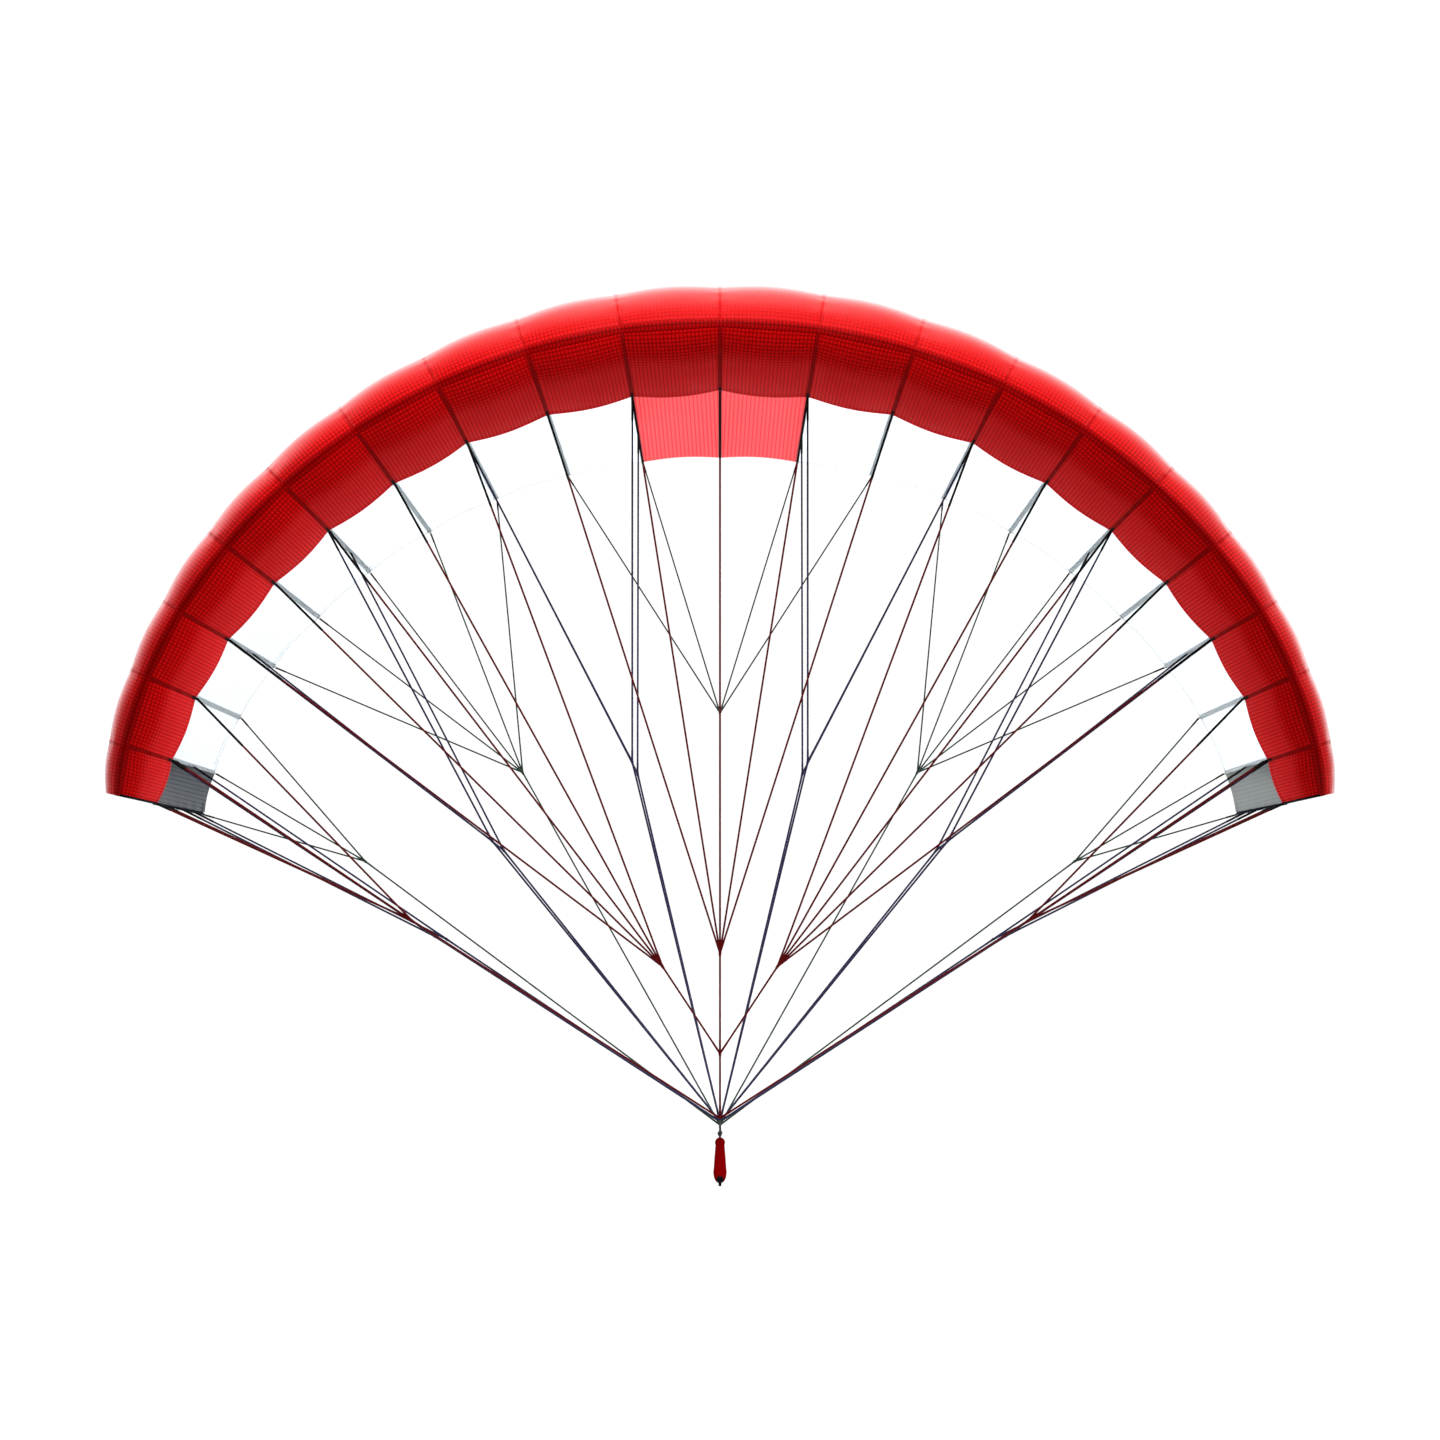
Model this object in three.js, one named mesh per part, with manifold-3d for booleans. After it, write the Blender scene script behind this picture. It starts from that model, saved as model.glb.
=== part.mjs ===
// A wing-foil parawing in flight: a single-skin kite of twenty cells on a fan of taut bridle lines,
// with one straight bar at the foot of the fan.
//
// Frame: millimetres, +Z up, +X to the right of the wing, +Y towards its trailing edge. The origin is
// the middle of the bar's grip, where a hand holds the whole kite up.
//
// The canopy is built round the hub line, a line parallel to +Y above the bar. Every rib lies in a
// plane through the hub line, so a rib point is an angle, a distance from the hub and a distance aft.

import * as THREE from 'three';
import { mergeVertices } from 'three/addons/utils/BufferGeometryUtils.js';
import Module from 'manifold-3d';

const wasm = await Module();
wasm.setup();

// ---------------------------------------------------------------------------------------------
// Driving dimensions
// ---------------------------------------------------------------------------------------------

const HUB_HEIGHT = 488; // the hub line above the grip's middle
const FRONT_Y = -125; // the leading edge at the middle rib

// One row per rib from the middle (0) to the tip (10), the same on both sides.
// angle: degrees from straight up; lead: leading-edge distance from the hub line; sweep: how far the
// leading edge is behind the middle one; chord: front to rear; crown: highest rise of the upper skin
// over the leading edge; nose: drop of the lower skin's rear corner under the leading edge.
const RIBS = [
  { angle: 0.0, lead: 1318, sweep: 0, chord: 1105, crown: 162, nose: 86 },
  { angle: 9.4, lead: 1322, sweep: 2, chord: 1100, crown: 159, nose: 88 },
  { angle: 18.6, lead: 1328, sweep: 9, chord: 1072, crown: 151, nose: 88 },
  { angle: 27.6, lead: 1337, sweep: 21, chord: 1031, crown: 142, nose: 85 },
  { angle: 36.3, lead: 1349, sweep: 40, chord: 993, crown: 133, nose: 86 },
  { angle: 44.6, lead: 1363, sweep: 65, chord: 948, crown: 121, nose: 84 },
  { angle: 52.3, lead: 1377, sweep: 98, chord: 901, crown: 111, nose: 81 },
  { angle: 59.6, lead: 1390, sweep: 137, chord: 836, crown: 98, nose: 75 },
  { angle: 66.3, lead: 1400, sweep: 184, chord: 770, crown: 89, nose: 72 },
  { angle: 72.9, lead: 1406, sweep: 238, chord: 716, crown: 81, nose: 69 },
  { angle: 77.5, lead: 1409, sweep: 300, chord: 677, crown: 67, nose: 50 },
];
const TIP = RIBS.length - 1;

const NOSE_END = 0.2; // chord fraction where the lower skin stops, at the front attachments
const CROWN_END = 0.3; // chord fraction of the seam between crown and rear panels
const TRAIL_DROP = 0.01; // trailing edge under the leading edge, as a fraction of the chord

const CLOTH = 1.2; // thickness of the canopy cloth
const GAP = 0.3; // clearance between pieces that meet
const BILLOW = 0.042; // how far a cell swells between its ribs, as a fraction of its width

// Facets of the cloth: across one cell, and along the chord of each kind of panel.
const ACROSS = 4;
const ALONG = { crown: 7, rear: 4, nose: 4 };

// Where lines meet a rib, by chord fraction and height over the leading edge in chord fractions.
// "nose" is the lower skin's rear corner, whose height is in the rib table.
const STATIONS = {
  nose: { at: NOSE_END },
  noseRear: { at: 0.33, height: -0.065 },
  second: { at: 0.45, height: 0 },
  tipSecond: { at: 0.6, height: -0.045 },
  third: { at: 0.75, height: 0 },
  tipThird: { at: 0.87, height: -0.01 },
  trail: { at: 1, height: -TRAIL_DROP },
};

// The lower edge of a rib runs from station to station. Its hollows rise towards the upper skin by
// "rise", as a share of the depth there, and "flat" is how square-shouldered a hollow is.
const RIB_KINDS = {
  plain: { corners: ['nose', 'trail'], rise: 0.88, flat: 6 },
  finned: { corners: ['nose', 'second', 'third', 'trail'], rise: 0.6, flat: 2 },
  outer: { corners: ['nose', 'noseRear', 'second', 'third', 'trail'], rise: 0.6, flat: 2 },
  tip: { corners: ['nose', 'noseRear', 'tipSecond', 'tipThird', 'trail'], rise: 0.3, flat: 2 },
};
const RIB_TAIL = 9; // depth of a rib's rear end
const RIB_END = 0.9; // a rib stops this far along the last facet of the upper skin
const FACET_SAG = 0.25; // a rib's flat edge bows this little towards the cloth it follows
const HOLLOW_STEPS = 6; // facets in each hollow of a rib's lower edge

// Bridle lines. A knot is where lines join; x is given for the right side and mirrored for the left.
const KNOTS = {
  frontFoot: { x: 0, y: 225, z: 65 },
  frontFork: { x: 0, y: 215, z: 210 },
  frontMiddle: { x: 0, y: 195, z: 436 },
  frontSide: { x: 131, y: 205, z: 406 },
  frontTip: { x: 713, y: 265, z: 510 },
  middleFoot: { x: 0, y: 239, z: 56 },
  secondInner: { x: 207, y: 305, z: 882 },
  secondOuter: { x: 534, y: 305, z: 695 },
  secondTip: { x: 668, y: 315, z: 474 },
  thirdInner: { x: 201, y: 455, z: 867 },
  thirdOuter: { x: 525, y: 455, z: 680 },
  thirdTip: { x: 660, y: 455, z: 466 },
  rearFoot: { x: 0, y: 253, z: 47 },
  rearMiddle: { x: 0, y: 655, z: 1040 },
  rearSide: { x: 502, y: 645, z: 886 },
  rearTip: { x: 888, y: 595, z: 659 },
};

// One row per knot: the row of the bridle, the knot its line leads down to, and what it holds.
const CASCADES = [
  { row: 'front', knot: 'frontFork', down: 'frontFoot', holds: [] },
  { row: 'front', knot: 'frontMiddle', down: 'frontFork', holds: [{ ribs: [0, 1, 2], at: 'nose' }] },
  { row: 'front', knot: 'frontSide', down: 'frontFork', holds: [{ ribs: [3, 4, 5, 6, 7], at: 'nose' }] },
  { row: 'front', knot: 'frontTip', down: 'frontFoot', holds: [
    { ribs: [8, 9, 10], at: 'nose' },
    { ribs: [9, 10], at: 'noseRear' },
  ] },
  { row: 'middle', knot: 'secondInner', down: 'middleFoot', holds: [{ ribs: [1, 3], at: 'second' }] },
  { row: 'middle', knot: 'secondOuter', down: 'middleFoot', holds: [{ ribs: [5, 7], at: 'second' }] },
  { row: 'middle', knot: 'secondTip', down: 'middleFoot', holds: [
    { ribs: [9], at: 'second' },
    { ribs: [10], at: 'tipSecond' },
  ] },
  { row: 'middle', knot: 'thirdInner', down: 'middleFoot', holds: [{ ribs: [1, 3], at: 'third' }] },
  { row: 'middle', knot: 'thirdOuter', down: 'middleFoot', holds: [{ ribs: [5, 7], at: 'third' }] },
  { row: 'middle', knot: 'thirdTip', down: 'middleFoot', holds: [
    { ribs: [9], at: 'third' },
    { ribs: [10], at: 'tipThird' },
  ] },
  { row: 'rear', knot: 'rearMiddle', down: 'rearFoot', holds: [{ ribs: [1, 2], at: 'trail' }] },
  { row: 'rear', knot: 'rearSide', down: 'rearFoot', holds: [{ ribs: [3, 4, 5, 6, 7], at: 'trail' }] },
  { row: 'rear', knot: 'rearTip', down: 'rearFoot', holds: [{ ribs: [8, 9, 10], at: 'trail' }] },
];
const LINE_DIAMETER = { front: 3.4, middle: 3.4, rear: 3.0 };
const KNOT_DIAMETER = 5; // the knot where lines join
const FOOT_DIAMETER = 7; // the knot at the foot of each row
const LINE_SIDES = 8; // facets round a line
const KNOT_SIDES = 6; // facets round a knot
const SLIVER = 0.08; // facets thinner than this are dropped where lines join
const LINE_DROP = 6; // line ends stop this far under the cloth, in their tabs

// Bar: a straight grip along +Y, its far end lifted.
const BAR_TILT = 3; // degrees
const GRIP_LENGTH = 440;
const GRIP_SIDES = 24;
// Distance from the grip's near end, as a fraction of its length, and radius there.
const GRIP_PROFILE = [
  { at: 0.0, radius: 7.2 },
  { at: 0.02, radius: 9.4 },
  { at: 0.05, radius: 11.4 },
  { at: 0.1, radius: 13.0 },
  { at: 0.18, radius: 13.8 },
  { at: 0.3, radius: 13.0 },
  { at: 0.6, radius: 11.8 },
  { at: 0.93, radius: 10.0 },
  { at: 0.975, radius: 10.6 },
  { at: 1.0, radius: 9.8 },
];
const CAP_LENGTH = 8;
const CAP_RADIUS = 6.8;
const CAP_EDGE = 1.2; // the cap's chamfered rim

const PIGTAIL_DIAMETER = 3.4;
const STOPPER_DIAMETER = 9; // the knot on the pigtail
const STOPPER_AT = 0.45; // its place between the bar and the foot of the bridle

// ---------------------------------------------------------------------------------------------
// Colours
// ---------------------------------------------------------------------------------------------

function cloth(color) {
  return new THREE.MeshStandardMaterial({ color, roughness: 0.55, metalness: 0, side: THREE.DoubleSide });
}
const MATERIALS = {
  red: cloth(0xe0202c),
  darkRed: cloth(0xa81820),
  lightRed: cloth(0xff6a70),
  white: cloth(0xf4f8fa),
  grey: cloth(0x7c868a),
  ribWhite: cloth(0xd8dede),
  lineRed: new THREE.MeshStandardMaterial({ color: 0x4a0608, roughness: 0.8, metalness: 0 }),
  lineBlue: new THREE.MeshStandardMaterial({ color: 0x2c2c44, roughness: 0.8, metalness: 0 }),
  lineGreen: new THREE.MeshStandardMaterial({ color: 0x4a5c4e, roughness: 0.8, metalness: 0 }),
  black: new THREE.MeshStandardMaterial({ color: 0x141414, roughness: 0.6, metalness: 0 }),
  gripRed: new THREE.MeshStandardMaterial({ color: 0xa00c12, roughness: 0.45, metalness: 0 }),
};

// ---------------------------------------------------------------------------------------------
// Rib sections
// ---------------------------------------------------------------------------------------------

// The upper skin's rise over the leading edge follows sqrt(x)(1 - x), whose greatest value, at x = 1/3,
// is this. The square root gives the round nose.
const CROWN_PEAK = Math.sqrt(1 / 3) * (2 / 3);

// A section point is { y: distance aft, r: distance from the hub line } and its outward normal.
function upperSection(rib, x) {
  const rise = (rib.crown / CROWN_PEAK) * Math.sqrt(x) * (1 - x);
  return { y: FRONT_Y + rib.sweep + x * rib.chord, r: rib.lead + rise - TRAIL_DROP * rib.chord * x };
}

// The lower skin of the nose is a quarter of an ellipse, upright at the leading edge and level at its
// rear corner.
function lowerSection(rib, x) {
  const s = 1 - x / NOSE_END;
  return { y: FRONT_Y + rib.sweep + x * rib.chord, r: rib.lead - rib.nose * Math.sqrt(1 - s * s) };
}

function sectionNormal(section, rib, x, outward) {
  const step = 1e-4;
  const before = section(rib, Math.max(x - step, 0));
  const after = section(rib, Math.min(x + step, section === lowerSection ? NOSE_END : 1));
  const dy = after.y - before.y;
  const dr = after.r - before.r;
  const length = Math.hypot(dy, dr);
  return { y: (-outward * dr) / length, r: (outward * dy) / length };
}

function inSpace(angle, point) {
  return new THREE.Vector3(
    point.r * Math.sin(angle),
    point.y,
    HUB_HEIGHT + point.r * Math.cos(angle),
  );
}

// A direction in a rib's plane has no hub height in it.
function directionInSpace(angle, d) {
  return new THREE.Vector3(d.r * Math.sin(angle), d.y, d.r * Math.cos(angle));
}

// Ribs are numbered -10 to 10 from left to right.
function ribAt(number) {
  const rib = RIBS[Math.abs(number)];
  return { ...rib, turn: THREE.MathUtils.degToRad(rib.angle) * Math.sign(number) };
}

// ---------------------------------------------------------------------------------------------
// Closed solids from grids
// ---------------------------------------------------------------------------------------------

// A sheet: rows x columns of { point, normal }, thickened half each way along its normals and closed
// round its four edges.
function sheetGeometry(rows, thickness) {
  const high = rows.length;
  const wide = rows[0].length;
  const positions = [];
  for (const side of [0.5, -0.5]) {
    for (const row of rows) {
      for (const { point, normal } of row) {
        const p = point.clone().addScaledVector(normal, side * thickness);
        positions.push(p.x, p.y, p.z);
      }
    }
  }
  const index = [];
  const top = (i, j) => i * wide + j;
  const under = (i, j) => high * wide + i * wide + j;
  const quad = (a, b, c, d) => index.push(a, b, c, a, c, d);
  for (let i = 0; i + 1 < high; i += 1) {
    for (let j = 0; j + 1 < wide; j += 1) {
      quad(top(i, j), top(i, j + 1), top(i + 1, j + 1), top(i + 1, j));
      quad(under(i, j), under(i + 1, j), under(i + 1, j + 1), under(i, j + 1));
    }
  }
  for (let j = 0; j + 1 < wide; j += 1) {
    quad(top(0, j), under(0, j), under(0, j + 1), top(0, j + 1));
    quad(top(high - 1, j + 1), under(high - 1, j + 1), under(high - 1, j), top(high - 1, j));
  }
  for (let i = 0; i + 1 < high; i += 1) {
    quad(top(i + 1, 0), under(i + 1, 0), under(i, 0), top(i, 0));
    quad(top(i, wide - 1), under(i, wide - 1), under(i + 1, wide - 1), top(i + 1, wide - 1));
  }
  return outwards(meshFrom(positions, index));
}

function meshFrom(positions, index) {
  const geometry = new THREE.BufferGeometry();
  geometry.setAttribute('position', new THREE.Float32BufferAttribute(positions, 3));
  geometry.setIndex(index);
  return geometry;
}

// Six times the signed volume: negative when the faces point inwards.
function signedVolume(geometry) {
  const p = geometry.getAttribute('position');
  const index = geometry.getIndex();
  const [a, b, c] = [new THREE.Vector3(), new THREE.Vector3(), new THREE.Vector3()];
  let sum = 0;
  for (let i = 0; i < index.count; i += 3) {
    a.fromBufferAttribute(p, index.getX(i));
    b.fromBufferAttribute(p, index.getX(i + 1));
    c.fromBufferAttribute(p, index.getX(i + 2));
    sum += a.dot(b.cross(c));
  }
  return sum;
}

function outwards(geometry) {
  if (signedVolume(geometry) < 0) {
    const index = Array.from(geometry.getIndex().array);
    for (let i = 0; i < index.length; i += 3) {
      [index[i], index[i + 1]] = [index[i + 1], index[i]];
    }
    geometry.setIndex(index);
  }
  geometry.computeVertexNormals();
  return geometry;
}

// ---------------------------------------------------------------------------------------------
// Canopy panels
// ---------------------------------------------------------------------------------------------

// A bay's sheet between two ribs, over every cell between them. Across a cell the surface is the
// straight line from rib to rib, swollen outwards by half a sine wave. "stations" are chord fractions.
function bayGeometry(from, to, section, outward, stations, ends) {
  const cells = to - from;
  const rows = [];
  stations.forEach((x, k) => {
    const row = [];
    for (let n = 0; n <= cells * ACROSS; n += 1) {
      const cell = Math.min(Math.floor(n / ACROSS), cells - 1);
      const left = ribAt(from + cell);
      const right = ribAt(from + cell + 1);
      const a = inSpace(left.turn, section(left, x));
      const b = inSpace(right.turn, section(right, x));
      const width = a.distanceTo(b);
      let t = n / ACROSS - cell;
      if (n === 0) t = GAP / 2 / width;
      if (n === cells * ACROSS) t = 1 - GAP / 2 / width;
      const normalLeft = directionInSpace(left.turn, sectionNormal(section, left, x, outward));
      const normalRight = directionInSpace(right.turn, sectionNormal(section, right, x, outward));
      const normal = normalLeft.lerp(normalRight, t).normalize();
      const point = a.lerp(b, t).addScaledVector(normal, BILLOW * width * Math.sin(Math.PI * t));
      const along = k === 0 ? ends.first : k === stations.length - 1 ? ends.last : null;
      if (along) point.add(directionInSpace(THREE.MathUtils.lerp(left.turn, right.turn, t), along));
      row.push({ point, normal });
    }
    rows.push(row);
  });
  return sheetGeometry(rows, CLOTH);
}

// Chord fractions from one end to the other. Squared steps put more rows round the nose.
function squaredSteps(end, count) {
  return Array.from({ length: count + 1 }, (_, k) => end * (k / count) ** 2);
}
function evenSteps(start, end, count) {
  return Array.from({ length: count + 1 }, (_, k) => start + ((end - start) * k) / count);
}
const CROWN_STATIONS = squaredSteps(CROWN_END, ALONG.crown);
const REAR_STATIONS = evenSteps(CROWN_END, 1, ALONG.rear);
// The lower skin turns as a quarter circle does, so its steps are equal turns.
const NOSE_STATIONS = Array.from(
  { length: ALONG.nose + 1 },
  (_, k) => NOSE_END * (1 - Math.cos((k / ALONG.nose) * (Math.PI / 2))),
);

const HALF_GAP = GAP / 2;
const BAYS = [
  [-10, -9], [-9, -7], [-7, -5], [-5, -3], [-3, -1], [-1, 1], [1, 3], [3, 5], [5, 7], [7, 9], [9, 10],
];

function bayName(from, to) {
  if (from === -1) return 'middle';
  const side = from < 0 ? 'left' : 'right';
  const inner = Math.min(Math.abs(from), Math.abs(to));
  return `${side}_${(inner + 1) / 2}`;
}

function crownPanel(from, to) {
  return bayGeometry(from, to, upperSection, 1, CROWN_STATIONS, {
    first: { y: 0, r: HALF_GAP },
    last: { y: -HALF_GAP, r: 0 },
  });
}
function rearPanel(from, to) {
  return bayGeometry(from, to, upperSection, 1, REAR_STATIONS, {
    first: { y: HALF_GAP, r: 0 },
    last: { y: 0, r: 0 },
  });
}
function nosePanel(from, to) {
  return bayGeometry(from, to, lowerSection, -1, NOSE_STATIONS, {
    first: { y: 0, r: -HALF_GAP },
    last: { y: 0, r: 0 },
  });
}

function rearMaterial(from, to) {
  if (from === -1) return MATERIALS.lightRed;
  return Math.max(Math.abs(from), Math.abs(to)) === TIP ? MATERIALS.grey : MATERIALS.white;
}

// ---------------------------------------------------------------------------------------------
// Ribs
// ---------------------------------------------------------------------------------------------

const RIB_INSET = CLOTH / 2 + GAP + FACET_SAG; // from the cloth's middle surface to the rib's edge

function ribKind(number) {
  if (Math.abs(number) === TIP) return RIB_KINDS.tip;
  if (Math.abs(number) === TIP - 1) return RIB_KINDS.outer;
  return number % 2 === 0 ? RIB_KINDS.plain : RIB_KINDS.finned;
}

function insetPoint(section, rib, x, outward) {
  const p = section(rib, x);
  const n = sectionNormal(section, rib, x, outward);
  return { y: p.y - n.y * RIB_INSET, r: p.r - n.r * RIB_INSET };
}

// Where a line meets a rib: { y, r } of the station's corner.
function stationPoint(rib, name) {
  const station = STATIONS[name];
  if (name === 'nose') return lowerSection(rib, station.at);
  return { y: FRONT_Y + rib.sweep + station.at * rib.chord, r: rib.lead + station.height * rib.chord };
}

// The rib's outline in its own plane: the underside of the upper skin from front to rear, then the
// lower edge from rear to front, then the inside of the lower skin back to the leading edge.
function ribOutline(number) {
  const rib = ribAt(number);
  const kind = ribKind(number);
  const outline = [];
  for (const x of [...CROWN_STATIONS.slice(1), ...REAR_STATIONS.slice(1, -1)]) {
    outline.push(insetPoint(upperSection, rib, x, 1));
  }
  const last = outline[outline.length - 1];
  const trail = insetPoint(upperSection, rib, 1, 1);
  const tail = {
    y: THREE.MathUtils.lerp(last.y, trail.y, RIB_END),
    r: THREE.MathUtils.lerp(last.r, trail.r, RIB_END),
  };
  outline.push(tail);
  const tailX = (tail.y - FRONT_Y - rib.sweep) / rib.chord;
  const cornerHeights = kind.corners.map((name) => {
    if (name === 'trail') return { x: tailX, r: tail.r - RIB_TAIL };
    const r = stationPoint(rib, name).r;
    return { x: STATIONS[name].at, r: name === 'nose' ? r + RIB_INSET : r };
  });
  for (let c = cornerHeights.length - 1; c > 0; c -= 1) {
    const rear = cornerHeights[c];
    const front = cornerHeights[c - 1];
    for (let k = 0; k < HOLLOW_STEPS; k += 1) {
      const t = k / HOLLOW_STEPS;
      const x = THREE.MathUtils.lerp(rear.x, front.x, t);
      const straight = THREE.MathUtils.lerp(rear.r, front.r, t);
      const top = upperSection(rib, x).r - RIB_INSET;
      const rise = kind.rise * (1 - Math.abs(2 * t - 1) ** kind.flat);
      outline.push({ y: FRONT_Y + rib.sweep + x * rib.chord, r: straight + rise * (top - straight) });
    }
  }
  for (const x of NOSE_STATIONS.slice(1).reverse()) {
    outline.push(insetPoint(lowerSection, rib, x, -1));
  }
  outline.push({ y: FRONT_Y + rib.sweep + RIB_INSET, r: rib.lead });
  return { rib, outline };
}

// The outline is drawn with distance aft to the right and distance from the hub upwards, given the
// cloth's thickness, and turned into its plane.
function ribMesh(number) {
  const { rib, outline } = ribOutline(number);
  const shape = new THREE.Shape(outline.map((p) => new THREE.Vector2(p.y, p.r)));
  const geometry = new THREE.ExtrudeGeometry(shape, { depth: CLOTH, bevelEnabled: false });
  geometry.translate(0, 0, -CLOTH / 2);
  const across = new THREE.Vector3(Math.cos(rib.turn), 0, -Math.sin(rib.turn));
  const outward = new THREE.Vector3(Math.sin(rib.turn), 0, Math.cos(rib.turn));
  const aft = new THREE.Vector3(0, 1, 0);
  const mesh = new THREE.Mesh(geometry, MATERIALS.ribWhite);
  mesh.setRotationFromMatrix(new THREE.Matrix4().makeBasis(aft, outward, across));
  mesh.position.set(0, 0, HUB_HEIGHT);
  mesh.name = `rib_${sideName(number)}`;
  return mesh;
}

function sideName(number) {
  if (number === 0) return 'middle';
  return `${number < 0 ? 'left' : 'right'}_${String(Math.abs(number)).padStart(2, '0')}`;
}

// ---------------------------------------------------------------------------------------------
// Bridle
// ---------------------------------------------------------------------------------------------

// A closed geometry as a manifold-3d solid, with nothing left but its shared positions.
function solidOf(geometry) {
  const bare = geometry.clone();
  bare.deleteAttribute('normal');
  bare.deleteAttribute('uv');
  const merged = mergeVertices(bare, 1e-4);
  return new wasm.Manifold(new wasm.Mesh({
    numProp: 3,
    vertProperties: new Float32Array(merged.getAttribute('position').array),
    triVerts: new Uint32Array(merged.getIndex().array),
  }));
}

function geometryOf(solid) {
  const mesh = solid.getMesh();
  const geometry = meshFrom(Array.from(mesh.vertProperties), Array.from(mesh.triVerts));
  geometry.computeVertexNormals();
  return geometry;
}

// A taut line between two points, as a solid.
function lineSolid(start, end, diameter) {
  const geometry = new THREE.CylinderGeometry(
    diameter / 2, diameter / 2, start.distanceTo(end), LINE_SIDES,
  );
  const along = end.clone().sub(start).normalize();
  geometry.applyQuaternion(new THREE.Quaternion().setFromUnitVectors(new THREE.Vector3(0, 1, 0), along));
  const middle = start.clone().add(end).multiplyScalar(0.5);
  geometry.translate(middle.x, middle.y, middle.z);
  return solidOf(geometry);
}

function knotSolid(centre, diameter) {
  const geometry = new THREE.SphereGeometry(diameter / 2, KNOT_SIDES, KNOT_SIDES - 2);
  geometry.translate(centre.x, centre.y, centre.z);
  return solidOf(geometry);
}

function knotPoint(name, side) {
  const knot = KNOTS[name];
  return new THREE.Vector3(knot.x * side, knot.y, knot.z);
}

// The upper end of a line: a little under its corner of the rib, towards the hub.
function lineTop(number, station) {
  const rib = ribAt(number);
  const corner = stationPoint(rib, station);
  return inSpace(rib.turn, { y: corner.y, r: corner.r - LINE_DROP });
}

// A knot on the middle line holds ribs on both sides; a side knot has a twin on the other side.
function heldRibs(ribs, central, side) {
  if (!central) return ribs.map((n) => n * side);
  return [...ribs, ...ribs.filter((n) => n > 0).map((n) => -n)];
}

// Every line of one row of the bridle, joined at its knots into one solid.
function bridleGeometry(row) {
  const diameter = LINE_DIAMETER[row];
  const solids = [];
  for (const { knot: name, down, holds } of CASCADES.filter((c) => c.row === row)) {
    const central = KNOTS[name].x === 0;
    for (const side of central ? [1] : [-1, 1]) {
      const knot = knotPoint(name, side);
      solids.push(knotSolid(knot, KNOT_DIAMETER));
      solids.push(lineSolid(knot, knotPoint(down, side), diameter));
      for (const { ribs, at } of holds) {
        for (const number of heldRibs(ribs, central, side)) {
          solids.push(lineSolid(knot, lineTop(number, at), diameter));
        }
      }
    }
  }
  solids.push(knotSolid(knotPoint(`${row}Foot`, 1), FOOT_DIAMETER));
  return geometryOf(wasm.Manifold.union(solids).simplify(SLIVER));
}

// ---------------------------------------------------------------------------------------------
// Bar and pigtail
// ---------------------------------------------------------------------------------------------

// A lathe's axis is +Y, which is the bar's own axis.
function lathe(profile, sides) {
  return new THREE.LatheGeometry(profile.map((p) => new THREE.Vector2(p[0], p[1])), sides);
}

function gripGeometry() {
  const start = -GRIP_LENGTH / 2;
  const wall = GRIP_PROFILE.map((p) => [p.radius, start + p.at * GRIP_LENGTH]);
  return lathe([[0, start], ...wall, [0, start + GRIP_LENGTH]], GRIP_SIDES);
}

function capGeometry() {
  const inner = -GRIP_LENGTH / 2 - GAP;
  const outer = inner - CAP_LENGTH;
  return lathe([
    [0, outer],
    [CAP_RADIUS - CAP_EDGE, outer],
    [CAP_RADIUS, outer + CAP_EDGE],
    [CAP_RADIUS, inner],
    [0, inner],
  ], GRIP_SIDES);
}

// The point on the bar's axis at a distance from the grip's middle.
function onBar(distance) {
  const tilt = THREE.MathUtils.degToRad(BAR_TILT);
  return new THREE.Vector3(0, distance * Math.cos(tilt), distance * Math.sin(tilt));
}

function barGroup() {
  const bar = new THREE.Group();
  bar.rotation.x = THREE.MathUtils.degToRad(BAR_TILT);
  bar.add(named('bar_grip', gripGeometry(), MATERIALS.gripRed));
  bar.add(named('bar_cap', capGeometry(), MATERIALS.black));
  return bar;
}

// From the bar's far end up past its stopper knot to the feet of the three rows, which it gathers in
// a stout splice that runs under them.
function pigtailGeometry() {
  const start = onBar(GRIP_LENGTH / 2 + GAP + PIGTAIL_DIAMETER / 2);
  const drop = FOOT_DIAMETER / 2 + GAP + STOPPER_DIAMETER / 2;
  const front = knotPoint('frontFoot', 1);
  const rear = knotPoint('rearFoot', 1);
  const under = rear.clone().sub(front).normalize();
  const away = new THREE.Vector3(0, under.z, -under.y);
  front.addScaledVector(away, drop);
  rear.addScaledVector(away, drop);
  const stopper = start.clone().lerp(front, STOPPER_AT);
  return geometryOf(wasm.Manifold.union([
    lineSolid(start, stopper, PIGTAIL_DIAMETER),
    lineSolid(stopper, front, PIGTAIL_DIAMETER),
    knotSolid(stopper, STOPPER_DIAMETER),
    lineSolid(front, rear, STOPPER_DIAMETER),
  ]));
}

// ---------------------------------------------------------------------------------------------
// The whole kite
// ---------------------------------------------------------------------------------------------

function named(name, geometry, material) {
  const mesh = new THREE.Mesh(geometry, material);
  mesh.name = name;
  return mesh;
}

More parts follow.
